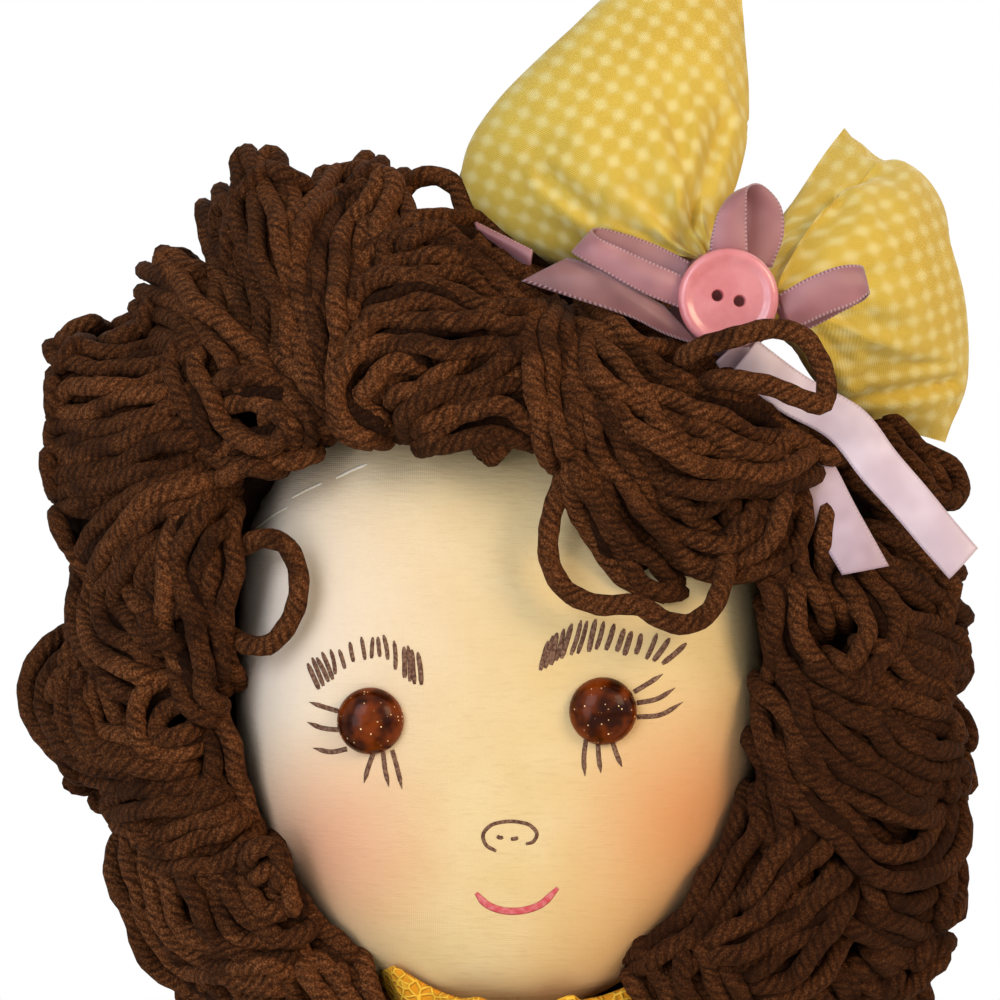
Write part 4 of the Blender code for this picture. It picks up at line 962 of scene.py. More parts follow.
# Locks of the front hair: guide pixels, strands, width at the start and at the end in pixels, lift in mm
FRONT_LOCKS = {
    "hair_crown_left": (
        ([(352, 440), (340, 375), (334, 305), (344, 250), (368, 198), (384, 168)], 3, 36, 46, 2.5, True),
        ([(322, 432), (310, 372), (300, 305), (302, 245), (325, 205), (362, 178)], 3, 32, 34, 1.0, True),
        ([(318, 440), (300, 375), (284, 310), (270, 245), (262, 190), (257, 160)], 4, 50, 46, 2.0, True),
        ([(300, 440), (268, 372), (243, 310), (226, 250), (216, 205)], 3, 40, 34, 0.5, True),
        ([(396, 262), (395, 232), (378, 200), (330, 190)], 3, 34, 40, -1.5, True),
        ([(400, 330), (385, 290), (390, 250), (400, 225)], 3, 50, 46, -0.5, False),
    ),
    "hair_temple_left": (
        ([(330, 432), (292, 398), (262, 368), (225, 325), (186, 288), (154, 266)], 3, 40, 44, 2.0, True),
        ([(262, 392), (225, 352), (182, 322), (146, 305)], 3, 40, 44, -0.5, True),
        ([(216, 404), (184, 402), (140, 408), (94, 416), (56, 420)], 8, 100, 150, 2.5, True),
        ([(230, 455), (190, 462), (130, 476), (60, 492)], 3, 40, 44, 0.0, True),
        ([(288, 456), (254, 452), (222, 446), (199, 406), (189, 362), (204, 336)], 2, 24, 26, 5.0, False),
        ([(206, 394), (238, 388), (274, 398), (296, 424), (298, 448)], 2, 22, 22, 5.0, False),
        ([(226, 424), (246, 440), (272, 438), (284, 420), (272, 404)], 1, 20, 20, 4.0, False),
        ([(316, 438), (280, 446), (244, 458), (214, 470)], 2, 22, 24, 3.5, False),
    ),
    "hair_side_left": (
        ([(240, 484), (216, 484), (176, 500), (128, 532), (100, 575), (94, 612), (112, 646), (148, 670),
          (192, 680)],
         4, 42, 52, 3.0, False),
        ([(226, 514), (176, 528), (148, 560), (148, 600), (170, 625)], 3, 32, 30, 2.0, False),
        ([(204, 640), (197, 618), (166, 612), (143, 618), (152, 634), (188, 642)], 1, 18, 18, 6.5, False),
        ([(216, 498), (192, 530), (182, 573), (187, 613), (197, 646), (206, 688)], 3, 40, 40, 6.5, False),
        ([(226, 500), (220, 545), (217, 590), (216, 630), (214, 668)], 2, 22, 22, 4.0, False),
        ([(198, 634), (190, 679), (200, 706), (216, 716)], 2, 22, 24, 5.5, False),
        ([(150, 560), (165, 600), (190, 650), (215, 700)], 4, 66, 50, 0.0, False),
        ([(214, 766), (182, 774), (132, 766), (84, 744), (62, 706), (66, 672), (88, 646)],
         5, 46, 60, 3.0, False),
        ([(210, 736), (184, 744), (152, 736), (152, 706), (180, 690), (200, 688)], 2, 22, 22, 4.5, False),
        ([(120, 640), (110, 690), (126, 730), (170, 748)], 3, 60, 40, -1.0, False),
        ([(212, 700), (216, 745), (230, 790), (252, 836)], 2, 20, 22, 1.0, False),
    ),
    "hair_curls_left": (
        ([(232, 790), (196, 806), (156, 812), (118, 806)], 3, 40, 36, 4.0, True),
        ([(250, 816), (214, 838), (178, 846), (140, 844)], 3, 42, 40, 2.5, True),
        ([(136, 836), (134, 872), (148, 908), (176, 948), (218, 972), (264, 980), (308, 980)],
         4, 44, 50, 3.0, False),
        ([(176, 856), (186, 892), (208, 926), (242, 952), (280, 962), (308, 958)], 3, 36, 34, 4.0, False),
        ([(228, 856), (238, 890), (262, 918), (288, 924), (304, 908)], 2, 24, 22, 5.0, False),
        ([(242, 868), (248, 846), (268, 844), (280, 866), (272, 888)], 1, 18, 18, 7.0, False),
        ([(256, 886), (272, 870), (292, 884), (296, 908), (280, 916)], 1, 18, 18, 7.0, False),
        ([(256, 842), (272, 874), (294, 908), (318, 944), (346, 976)], 2, 20, 24, 1.5, False),
        ([(290, 968), (304, 992), (320, 1024)], 4, 66, 80, 2.0, True),
        ([(212, 966), (226, 996), (246, 1026)], 4, 66, 70, 1.0, True),
        ([(336, 968), (352, 996), (368, 1024)], 3, 40, 46, -1.0, True),
        ([(200, 880), (215, 925), (245, 965)], 4, 70, 70, 0.0, False),
    ),
    "hair_fringe": (
        ([(344, 324), (374, 299), (412, 290), (450, 302), (492, 322), (535, 326), (562, 306)],
         2, 22, 26, 5.5, False),
        ([(348, 374), (362, 350), (405, 331), (455, 333), (500, 339), (548, 330)], 2, 24, 26, 7.0, False),
        ([(442, 364), (405, 353), (367, 363), (350, 392), (364, 420), (394, 436)], 2, 26, 22, 6.5, False),
        ([(382, 410), (392, 386), (425, 373), (472, 372)], 2, 22, 24, 4.5, False),
        ([(407, 440), (409, 420), (430, 400), (460, 385), (495, 366), (532, 350)], 3, 24, 46, 6.0, False),
        ([(410, 438), (444, 424), (480, 412), (516, 412), (552, 432)], 3, 40, 44, 5.0, False),
        ([(460, 438), (490, 404), (530, 366), (560, 330)], 5, 80, 60, 0.5, False),
        ([(392, 252), (430, 234), (470, 246), (510, 266), (552, 302)], 3, 36, 44, 2.5, False),
        ([(350, 300), (400, 270), (450, 268), (500, 290), (560, 320)], 4, 60, 50, 0.0, False),
        ([(376, 430), (350, 414), (335, 392), (340, 360)], 2, 24, 24, 3.0, False),
        ([(562, 306), (547, 340), (546, 380), (557, 420), (577, 462)], 3, 30, 36, 7.0, False),
    ),
    "hair_crown_right": (
        ([(584, 274), (634, 288), (676, 310), (700, 340)], 2, 24, 24, -2.0, False),
        ([(576, 300), (640, 338), (700, 364), (756, 392), (806, 420), (838, 440)], 3, 38, 42, 9.0, True),
        ([(586, 335), (640, 380), (700, 414), (755, 430), (800, 444), (826, 456)], 3, 38, 40, 9.5, False),
        ([(592, 372), (640, 428), (690, 466), (740, 474), (790, 462), (828, 448)], 3, 40, 36, 8.5, False),
        ([(590, 400), (618, 460), (650, 512), (692, 546), (736, 554), (770, 534), (780, 498), (772, 468)],
         4, 48, 44, 5.5, False),
        ([(630, 455), (666, 492), (700, 502), (726, 492), (747, 506), (738, 530), (712, 536)],
         2, 24, 22, 3.5, False),
        ([(574, 320), (572, 365), (584, 415), (606, 460), (628, 500)], 3, 36, 40, 6.0, False),
        ([(576, 440), (590, 490), (612, 542), (648, 582), (692, 598)], 3, 24, 32, 7.0, False),
        ([(640, 330), (700, 352), (760, 382)], 4, 40, 50, 3.0, False),
        ([(690, 430), (740, 446), (812, 462)], 5, 90, 70, 3.0, False),
        ([(820, 380), (870, 440), (930, 500)], 4, 60, 70, -1.0, True),
    ),
    "hair_side_right": (
        ([(772, 545), (780, 602), (796, 655), (830, 680), (866, 667), (884, 634), (873, 602), (846, 574)],
         2, 24, 26, 4.5, False),
        ([(806, 470), (800, 530), (808, 590), (832, 642)], 3, 44, 40, 1.0, False),
        ([(846, 556), (890, 598), (930, 626), (958, 640)], 3, 46, 54, 2.5, True),
        ([(872, 520), (912, 552), (950, 584)], 3, 50, 50, 0.5, True),
        ([(766, 676), (778, 725), (795, 772), (826, 816), (862, 850), (904, 867), (938, 852),
          (952, 816), (950, 782)],
         2, 24, 26, 5.5, False),
        ([(776, 664), (810, 728), (848, 770), (890, 798), (922, 804), (936, 786)], 3, 36, 32, 5.0, False),
        ([(788, 668), (845, 712), (890, 748), (930, 768), (956, 772)], 3, 36, 46, 4.5, True),
        ([(816, 664), (862, 696), (905, 720), (952, 736)], 2, 26, 30, 4.0, True),
        ([(850, 652), (905, 684), (952, 702)], 2, 26, 30, 4.5, True),
        ([(886, 622), (922, 652), (954, 670)], 2, 26, 30, 3.5, True),
        ([(820, 700), (880, 760), (930, 830)], 5, 90, 90, 0.0, False),
        ([(774, 600), (778, 640), (780, 690)], 2, 22, 22, 1.0, False),
    ),
    "hair_curls_right": (
        ([(768, 728), (781, 788), (792, 850)], 3, 36, 32, 3.0, False),
        ([(760, 786), (746, 850), (714, 904), (676, 944), (634, 982)], 3, 32, 38, 1.5, False),
        ([(742, 916), (780, 878), (822, 828)], 2, 24, 24, 4.5, False),
        ([(698, 966), (764, 938), (816, 908), (852, 866)], 3, 36, 32, 4.5, False),
        ([(738, 992), (800, 966), (836, 928), (860, 888)], 3, 36, 34, 3.5, False),
        ([(846, 900), (878, 930), (922, 946), (946, 926)], 2, 24, 24, 4.5, False),
        ([(868, 872), (896, 908), (930, 912), (948, 884)], 2, 24, 24, 3.0, False),
        ([(862, 962), (900, 976), (932, 956)], 2, 24, 24, 4.0, True),
        ([(760, 800), (790, 860), (800, 920), (780, 980)], 4, 70, 80, -1.5, False),
        ([(680, 930), (694, 972), (716, 1016)], 4, 70, 70, 2.0, True),
        ([(780, 975), (804, 1000), (828, 1028)], 4, 70, 70, 1.5, True),
        ([(862, 950), (884, 984), (900, 1010)], 4, 60, 66, 1.5, True),
        ([(654, 968), (664, 994), (676, 1024)], 3, 40, 44, -1.0, True),
        ([(840, 840), (880, 890), (920, 940)], 4, 70, 70, -1.0, False),
    ),
}

# Single loops that stand off the hair: guide pixels and their depth in mm
LOOSE_LOOPS = {
    "hair_side_left": (
        ([(226, 556), (244, 546), (264, 538), (284, 544), (297, 567), (298, 597), (288, 624),
          (268, 645), (246, 644), (226, 632)],
         (-26, -34, -38, -40, -41, -41, -40, -38, -34, -26)),
    ),
    "hair_crown_left": (
        ([(392, 262), (396, 218), (402, 192), (418, 178), (437, 176), (456, 187), (464, 208),
          (470, 230), (486, 256)],
         (-22, -16, -14, -13, -13, -14, -16, -20, -28)),
    ),
    "hair_crown_right": (
        ([(574, 452), (561, 486), (550, 524), (550, 562), (566, 590), (595, 604), (640, 606),
          (664, 620), (688, 624), (710, 611), (722, 586), (728, 552)],
         (-44, -48, -48, -48, -48, -49, -50, -50, -49, -48, -46, -40)),
        ([(676, 362), (702, 347), (735, 337), (776, 329), (802, 336), (818, 357), (827, 387),
          (824, 404), (802, 399), (770, 386), (735, 380), (700, 380)],
         (-46, -51, -52, -51, -50, -48, -47, -47, -49, -50, -49, -44)),
    ),
}

# The back hair: its whorl, tiers and spacing, the furthest and the shortest loop, and the share of the
# outline that it keeps to, at the neck and elsewhere
BACK_WHORL_RISE = 38 * MM
BACK_TIERS = 5
BACK_TIER = 40 * MM
BACK_SPACING = 9.6 * MM
BACK_FURTHEST = 200 * MM
BACK_SHORTEST = 12 * MM
BACK_EDGE_SHARE = 0.985
BACK_NECK_SHARE = 0.09
BACK_NECK_DEGREES = 14
BACK_BEND = 5 * MM
BACK_LESSER_BEND = 3 * MM

# The loops round the widest part: their reach, width and sway, where they start and how far round they go,
# and the room that they leave for the neck
RIM_REACH = 105 * MM
RIM_HALF_WIDTH = 2.6 * MM
RIM_SWAY = 2.4 * MM
RIM_WAVE = 0.9 * MM
RIM_EDGE_SHARE = 0.955
RIM_START_DEGREES = 116
RIM_TURN_DEGREES = 33
NECK_CLOCK = 270
NECK_CLOCK_DEGREES = 12


def back_loops():
    """Loops of the back hair: they leave a whorl on the crown in tiers, each going out, round and back."""
    strands = []
    reach = np.linspace(0, BACK_FURTHEST, 400)
    out = np.linspace(0, 1, 8)
    share = np.concatenate([out, [1.05], out[::-1]])
    for tier in range(BACK_TIERS):
        start = tier * BACK_TIER * 0.82
        total = int(2 * np.pi * (tier + 0.75) * BACK_TIER / BACK_SPACING)
        for k in range(total):
            angle = 2 * np.pi * (k + 0.5 * (tier % 2)) / total
            aim = np.array((math.cos(angle), math.sin(angle)))
            x, rise = aim[0] * reach, BACK_WHORL_RISE + aim[1] * reach
            neck = math.exp(-((math.degrees(angle) - NECK_CLOCK) / BACK_NECK_DEGREES) ** 2)
            outside = np.hypot(x, rise) > (BACK_EDGE_SHARE - BACK_NECK_SHARE * neck) * thin_outline(x, rise)
            far = reach[np.argmax(outside)] if outside.any() else reach[-1]
            if start > far - BACK_SHORTEST:
                continue
            end = min(far, start + BACK_TIER * RANDOM.uniform(1.25, 1.5))
            half = BACK_SPACING / 2 * RANDOM.uniform(0.45, 0.6)
            bend = BACK_BEND * math.sin(3 * angle + tier) + BACK_LESSER_BEND * math.sin(k * 1.7)
            across = np.array((-aim[1], aim[0]))
            there, home = (aim * (start + (end - half - start) * out[:, None])
                           + across * (side * half + bend * np.sin(np.pi * out / 2))[:, None]
                           for side in (-1, 1))
            flat = np.concatenate([there, [aim * end + across * bend], home[::-1]]) + (0, BACK_WHORL_RISE)
            lift = (RANDOM.uniform(-1, 1) + 3.2 * share - 2.5) * MM - TUCK * (1 - ease(share / 0.25))
            path = np.stack([flat[:, 0], hair_back(*flat.T) + lift, flat[:, 1]], axis=1) + HEAD_MIDDLE
            # painted light of each back loop, at random between 0.5 and 0.95
            strands.append((even_curve(path, step=YARN_STEP), RANDOM.uniform(0.5, 0.95)))
    return strands


def rim_loops():
    """Loops round the widest part of the hair: each runs forwards from under the back hair, and back."""
    strands = []
    total = int(2 * np.pi * RIM_REACH / BACK_SPACING)
    share = np.linspace(0, 1, 12)
    polar = np.radians(RIM_START_DEGREES - RIM_TURN_DEGREES * share)
    for k in range(total):
        clock = 2 * np.pi * (k + RANDOM.uniform(-0.15, 0.15)) / total
        phase = RANDOM.uniform(0, 2 * np.pi, 2)
        if abs(math.degrees(clock) - NECK_CLOCK) < NECK_CLOCK_DEGREES:
            continue
        sway = RIM_SWAY * np.sin(4.2 * share + phase[0])
        legs = []
        for side in (-1, 1):
            aim = clock + (side * RIM_HALF_WIDTH + sway) / RIM_REACH
            reach = RIM_EDGE_SHARE * thin_outline(np.cos(aim), np.sin(aim)) * fallen(polar)
            reach = reach + RIM_WAVE * np.sin(5 * share + phase[1] + side)
            out = reach * np.sin(polar)
            legs.append(np.stack([out * np.cos(aim), -reach * np.cos(polar), out * np.sin(aim)], axis=1))
        path = looped(*legs) + HEAD_MIDDLE
        # painted light of each rim loop, at random between 0.35 and 0.8
        strands.append((even_curve(path, step=YARN_STEP), RANDOM.uniform(0.35, 0.8)))
    return strands


# The under hair: its sides, how deep it lies before and behind, how far it turns in at the face, its ridges
UNDER_SIDES = 240
UNDER_FRONT_DEPTH = 6.5 * MM
UNDER_BACK_DEPTH = 5.5 * MM
UNDER_TURN_IN = 26 * MM
UNDER_RIDGE = 0.9 * MM


def under_hair(wool):
    """The deeper yarn seen between the strands: a closed band from the face's edge round to the back, painted
    nearly black in front and dark behind as painted shade.
    """
    clock = full_turn(UNDER_SIDES)
    x, rise = np.cos(clock), np.sin(clock)
    outline = thin_outline(x, rise)
    tall = np.where(rise > 0, FACE_EDGE[1], FACE_EDGE[2])
    power = 2 + 1.2 * ease(rise / 0.5)
    edge = (np.abs(x / FACE_EDGE[0]) ** power + np.abs(rise / tall) ** power) ** (-1 / power)
    edge = edge * CAP_EDGE_SHARE
    rows = []
    for share in np.linspace(-0.15, 0.86, 22):
        r = edge + (outline - edge) * share
        inward = UNDER_FRONT_DEPTH + UNDER_TURN_IN * ease((0.10 - share) / 0.2)
        rows.append((r, hair_front(x * r, rise * r) + inward))
    for share in np.linspace(0.88, 0.02, 24):
        r = outline * share
        rows.append((r, hair_back(x * r, rise * r) * 0.97 - UNDER_BACK_DEPTH))
    r, y = np.array(rows).transpose(1, 0, 2)
    r_ridged = r + UNDER_RIDGE * np.sin(70 * clock + 3 * np.sin(5 * clock))
    points = np.stack([x * r_ridged, y, rise * r_ridged], axis=2) + HEAD_MIDDLE
    spread = np.stack(np.meshgrid(np.linspace(0, 1, UNDER_SIDES + 1), np.arange(len(y)) * YARN_STEP), axis=2)
    # painted shade: nearly black before the head's middle, dark behind it
    return mesh_piece("yarn_under_painted_shade", *joined([points]), wool, "head", uv=corner_places(spread),
                      values={"painted_light": np.where(y > 0, 0.22, 0.02)}, slot="yarn")


def make_hair(wool):
    """Every bundle of the front hair, its loose loops, the back hair and the yarn beneath them."""
    for node, locks in FRONT_LOCKS.items():
        strands = []
        for guide, count, start_wide, end_wide, lift, tip in locks:
            strands += lock(guide, count, start_wide, end_wide, lift, tip)
        for guide, depths in LOOSE_LOOPS.get(node, ()):
            spots = at_pixel(*np.array(guide, float).T, np.array(depths) * MM)
            # the loose loops stand in the light: painted light 0.9
            strands.append((even_curve(spots, step=YARN_STEP), 0.9))
        yarn_piece(node.replace("hair", "yarn"), strands, wool, (node,))
    loops = back_loops()
    yarn_piece("yarn_back_crown", loops[:len(loops) // 2], wool, ("hair_back",))
    yarn_piece("yarn_back_fall", loops[len(loops) // 2:], wool, ("hair_back",))
    under_hair(wool)
    yarn_piece("yarn_rim", rim_loops(), wool)


# Bow

KNOT_LOW, KNOT_HIGH = (np.array(corner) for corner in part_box("bow_knot"))
KNOT_MIDDLE = np.array(((KNOT_LOW[0] + KNOT_HIGH[0]) / 2, -29 * MM, (KNOT_LOW[2] + KNOT_HIGH[2]) / 2))
KNOT_RADIUS = 12.2 * MM
BUTTON_SHIFT = np.array((-1.6, 0, -2.0)) * MM
HOLE_SPREAD = 2.5 * MM
HOLE_TILT = math.radians(-14)

# Each lobe: its pinched edge, left edge, far edge and right edge in pixels, its depth in mm at both ends,
# how full it is in mm, how its weave is turned in degrees, and its creases, each from one pixel to another
# with its depth in mm and its half width in pixels
LOBES = {
    "bow_lobe_left": {
        "pinch": [(688, 268), (722, 262)],
        "left": [(688, 268), (620, 264), (540, 261), (500, 242), (472, 218), (460, 186)],
        "far": [(460, 186), (475, 143), (506, 100), (536, 68), (575, 28), (601, 3), (640, -30), (690, -44),
                (737, -8)],
        "right": [(722, 262), (718, 232), (736, 184), (747, 132), (747, 92), (743, 50), (737, -8)],
        "depth": (-29, -14), "full": 17.2, "weave": 31,
        "creases": ((721, 130, 686, 244, 2.4, 7), (562, 186, 606, 224, 1.6, 7), (640, 205, 700, 262, 1.4, 7)),
    },
    "bow_lobe_right": {
        "pinch": [(762, 286), (774, 318)],
        "left": [(762, 286), (786, 214), (808, 180), (826, 154), (845, 131)],
        "far": [(845, 131), (855, 144), (881, 172), (919, 189), (931, 208), (938, 246), (951, 298),
                (957, 345), (956, 400), (944, 442)],
        "right": [(774, 318), (802, 352), (832, 396), (880, 424), (944, 442)],
        "depth": (-26, 14), "full": 16.8, "weave": -20,
        "creases": ((850, 402, 930, 384, 2.2, 6), (806, 222, 872, 205, 1.5, 9), (858, 168, 884, 196, 1.0, 6),
                    (790, 262, 826, 236, 1.8, 6)),
    },
}
LOBE_ROWS = 46
LOBE_COLS = 61
GATHERS = 5
PLEAT_DEPTH = 1.9 * MM
LEAST_FULLNESS = 0.35 * MM
PINCH_REACH = 14 * MM
LOBE_PRESSURE = 2.0
LOBE_SWELL = 2.2 * MM


def patch(low, far, left, right, rows, cols):
    """A grid of pixels between four edges: both blends of facing edges, less the blend of the corners."""
    low, far = even_curve(low, count=cols), even_curve(far, count=cols)
    left, right = even_curve(left, count=rows), even_curve(right, count=rows)
    s = np.linspace(0, 1, rows)[:, None, None]
    t = np.linspace(0, 1, cols)[None, :, None]
    corners = (1 - s) * ((1 - t) * low[0] + t * low[-1]) + s * ((1 - t) * far[0] + t * far[-1])
    return (1 - s) * low + s * far + (1 - t) * left[:, None] + t * right[:, None] - corners


def lobe_fullness(plan, pixels, s, t):
    """How far each face stands off the lobe's middle: swelled, pleated at the pinch, dented and creased."""
    across = np.sin(np.pi * t)
    full = plan["full"] * MM * across ** 0.62 * (0.30 + 0.70 * ease(s / 0.55)) * np.sqrt(1 - s ** 5)
    pleat = np.cos(2 * np.pi * GATHERS * t + 1.5 * np.sin(3 * t)) * across
    full = full + PLEAT_DEPTH * pleat * (1 - s) ** 1.6 * np.sin(np.pi * np.minimum(1, s + 0.25) * 0.9)
    dents = 0.9 * np.sin(7 * t + 4 * s) * np.sin(5 * s + 2 * t) + 0.6 * np.sin(13 * t - 6 * s + 1)
    full = full + dents * MM * across * np.sin(np.pi * s)
    for x0, y0, x1, y1, deep, wide in plan["creases"]:
        way = np.array((x1 - x0, y1 - y0))
        along = np.clip(((pixels - (x0, y0)) @ way) / (way @ way), 0, 1)
        off = np.linalg.norm(pixels - (x0, y0) - along[..., None] * way, axis=2) / wide
        full = full - deep * MM * (np.exp(-off ** 2) - 0.35 * np.exp(-((off - 2.2) / 1.2) ** 2))
    seam = np.minimum(1, 40 * t * (1 - t)) * np.minimum(1, (LOBE_ROWS - 1) * (1 - s))
    return np.maximum(LEAST_FULLNESS, full) * seam


def lobe_map(face, flat):
    """A face's cloth map: as the camera sees it, spread sideways by as much as the swelling adds."""
    real, shown = (np.cumsum(np.linalg.norm(np.diff(grid, axis=1, prepend=grid[:, :1]), axis=2), axis=1)
                   for grid in (face, flat))
    middle = LOBE_COLS // 2
    extra = (real - real[:, middle, None]) - (shown - shown[:, middle, None])
    return flat + unit(flat[:, -1] - flat[:, 0])[:, None] * extra[..., None]


def make_lobe(name, cloth):
    """A stuffed lobe: two faces over a patch of pixels, which meet at the seam and at the pinch."""
    plan = LOBES[name]
    pixels = patch(plan["pinch"], plan["far"], plan["left"], plan["right"], LOBE_ROWS, LOBE_COLS)
    s, t = np.meshgrid(np.linspace(0, 1, LOBE_ROWS), np.linspace(0, 1, LOBE_COLS), indexing="ij")
    near, far = plan["depth"]
    y = (near + (far - near) * s + 2.5 * np.sin(2 * np.pi * (t * 1.3 + 0.2)) * s) * MM
    middle = at_pixel(pixels[..., 0], pixels[..., 1], y)
    full = lobe_fullness(plan, pixels, s, t)[..., None]
    normal = unit(np.cross(np.gradient(middle, axis=0), np.gradient(middle, axis=1)))
    normal *= np.where(normal[..., 1:2] > 0, -1, 1)
    front, back = middle + normal * full, middle - normal * full
    front_map, back_map = (lobe_map(face, middle[..., (0, 2)]) for face in (front, back))
    points = np.concatenate([front, back[:, -2:0:-1]], axis=1)
    spread = np.concatenate([front_map, back_map[:, -2:0:-1], front_map[:, :1]], axis=1)
    cap = np.repeat(points[:1].mean(axis=1, keepdims=True), points.shape[1], axis=1)
    lobe = grid_piece(name + "_cloth", np.concatenate([cap, points]), cloth, "head", weld=2e-5,
                      uv=np.concatenate([spread[:1], spread]), slot="gingham", nodes=(name,))
    pinch = at_pixel(*np.mean(plan["pinch"], axis=0), near * MM)
    still = np.flatnonzero(np.linalg.norm(spots_of(lobe) - pinch, axis=1) < PINCH_REACH)
    stuff(lobe, LOBE_PRESSURE, LOBE_SWELL, still.tolist())
    lobe.data.set_sharp_from_angle(angle=math.radians(70))


def ball_form(level, turn):
    """Points of a ball with radius 1, at levels from pole to pole and turns round it."""
    x, y, z = np.broadcast_arrays(np.cos(level) * np.cos(turn), np.cos(level) * np.sin(turn), np.sin(level))
    return np.stack([x, y, z], axis=2)


def make_knot(silk):
    """The ribbon-wrapped knot: a ball whose folds run across it."""
    rows, sides = 48, 72
    level = np.linspace(-np.pi / 2, np.pi / 2, rows)[:, None]
    turn = full_turn(sides)
    reach = KNOT_RADIUS * (1 + 0.035 * np.sin(9 * np.sin(level) + 1.2 * np.cos(turn)))
    points = KNOT_MIDDLE + BUTTON_SHIFT + ball_form(level, turn) * (1, 0.9, 1) * reach[:, :, None]
    across, around = np.linspace(-4, 4, rows) * MM, np.linspace(0, 80, sides + 1) * MM
    uv = np.stack(np.meshgrid(across, around, indexing="ij"), axis=2)
    grid_piece("bow_knot_silk", points, silk, "head", uv=uv, weld=1e-5, slot="satin_ribbon",
               nodes=("bow_knot",))


# Each ribbon: rows of left edge (px, py, depth in mm) and right edge (px, py, depth in mm)
RIBBONS = {
    "ribbon_loop_left": [
        (682, 309, -42, 692, 280, -42), (640, 292, -43, 652, 262, -43), (606, 273, -43, 619, 247, -43),
        (580, 258, -42, 598, 237, -42), (572, 252, -39, 592, 230, -39), (578, 250, -36, 598, 228, -36),
        (606, 262, -35, 626, 234, -35), (642, 280, -35, 657, 245, -35), (682, 300, -35, 690, 262, -35)],
    "ribbon_loop_top": [
        (708, 262, -42, 748, 258, -42), (711, 238, -43, 747, 232, -43), (717, 215, -43, 747, 206, -43),
        (727, 199, -41, 748, 188, -41), (743, 190, -37, 764, 186, -36), (744, 205, -34, 780, 204, -34),
        (742, 230, -33, 784, 232, -33), (738, 262, -33, 772, 268, -33)],
    "ribbon_loop_right": [
        (776, 296, -41, 790, 332, -41), (812, 276, -42, 826, 315, -42), (846, 265, -42, 858, 302, -42),
        (862, 266, -40, 869, 293, -40), (860, 276, -36, 864, 300, -36), (838, 292, -35, 842, 312, -35),
        (800, 304, -34, 806, 330, -34), (775, 306, -34, 785, 335, -34)],
    "ribbon_tail_left": [
        (664, 306, -41, 700, 346, -41), (630, 286, -42, 664, 334, -42), (600, 270, -42, 632, 318, -42),
        (582, 261, -40, 572, 298, -40), (568, 258, -38, 521, 281, -38)],
    "ribbon_tail_lower": [
        (716, 362, -33, 742, 336, -33), (738, 404, -23, 776, 388, -25), (766, 446, -21, 806, 430, -21),
        (794, 484, -30, 831, 459, -28), (817, 532, -34, 858, 510, -34), (842, 575, -35, 889, 566, -35)],
    "ribbon_tail_right": [
        (732, 372, -36, 757, 340, -36), (778, 410, -31, 806, 376, -31), (831, 441, -30, 866, 412, -30),
        (862, 480, -31, 897, 452, -31), (895, 516, -31, 926, 486, -31), (922, 548, -30, 952, 518, -30),
        (949, 579, -29, 978, 548, -29)],
}
RIBBON_END = [
    (473, 220, -22, 478, 233, -22), (503, 235, -24, 505, 252, -24), (533, 250, -28, 530, 268, -28)]
RIBBON_HALF = 5 * MM
RIBBON_THICKNESS = 0.4 * MM
RIBBON_STEP = 1.2 * MM
RIBBON_COLS = 13
RIBBON_CROWN = 0.8 * MM
RIBBON_WAVE = 0.35 * MM
RIBBON_WAVE_LENGTH = 7 * MM


def ribbon(name, rows, silk, nodes=()):
    """A ribbon between two edges: a little crowned across, with a selvage along both sides."""
    rows = np.array(rows, float)
    edges = [at_pixel(rows[:, k], rows[:, k + 1], rows[:, k + 2] * MM) for k in (0, 3)]
    path = even_curve(np.concatenate(edges, axis=1), step=RIBBON_STEP)
    t = np.linspace(0, 1, RIBBON_COLS)[None, :, None]
    middle = path[:, None, :3] * (1 - t) + path[:, None, 3:] * t
    half = unit(np.cross(np.gradient(middle, axis=0), np.gradient(middle, axis=1))) * RIBBON_THICKNESS / 2
    along = np.arange(len(path)) * RIBBON_STEP
    wave = RIBBON_WAVE * np.sin(along[:, None, None] / RIBBON_WAVE_LENGTH + 2 * t)
    middle = middle + (0, -1, 0) * (RIBBON_CROWN * (1 - (2 * t - 1) ** 2) + wave)
    points = np.concatenate([middle + half, (middle - half)[:, ::-1]], axis=1)
    across = np.linspace(-RIBBON_HALF, RIBBON_HALF, RIBBON_COLS)
    across = np.concatenate([across, across[::-1], across[:1]])
    uv = np.stack(np.broadcast_arrays(across, along[:, None]), axis=2)
    piece = grid_piece(name, points, silk, "head", uv=uv, weld=0, slot="satin_ribbon", nodes=nodes)
    fix_normals(piece, close=True)


def turned_rings(middle, profile, front, count):
    """Rings turned about a line through a middle, from a profile of reach and height above the front."""
    turn = full_turn(count)
    reach, height = np.array(profile)[:, :, None].transpose(1, 0, 2)
    x, y, z = np.broadcast_arrays(middle[0] + reach * np.cos(turn), front - height,
                                  middle[2] + reach * np.sin(turn))
    return np.stack([x, y, z], axis=2)


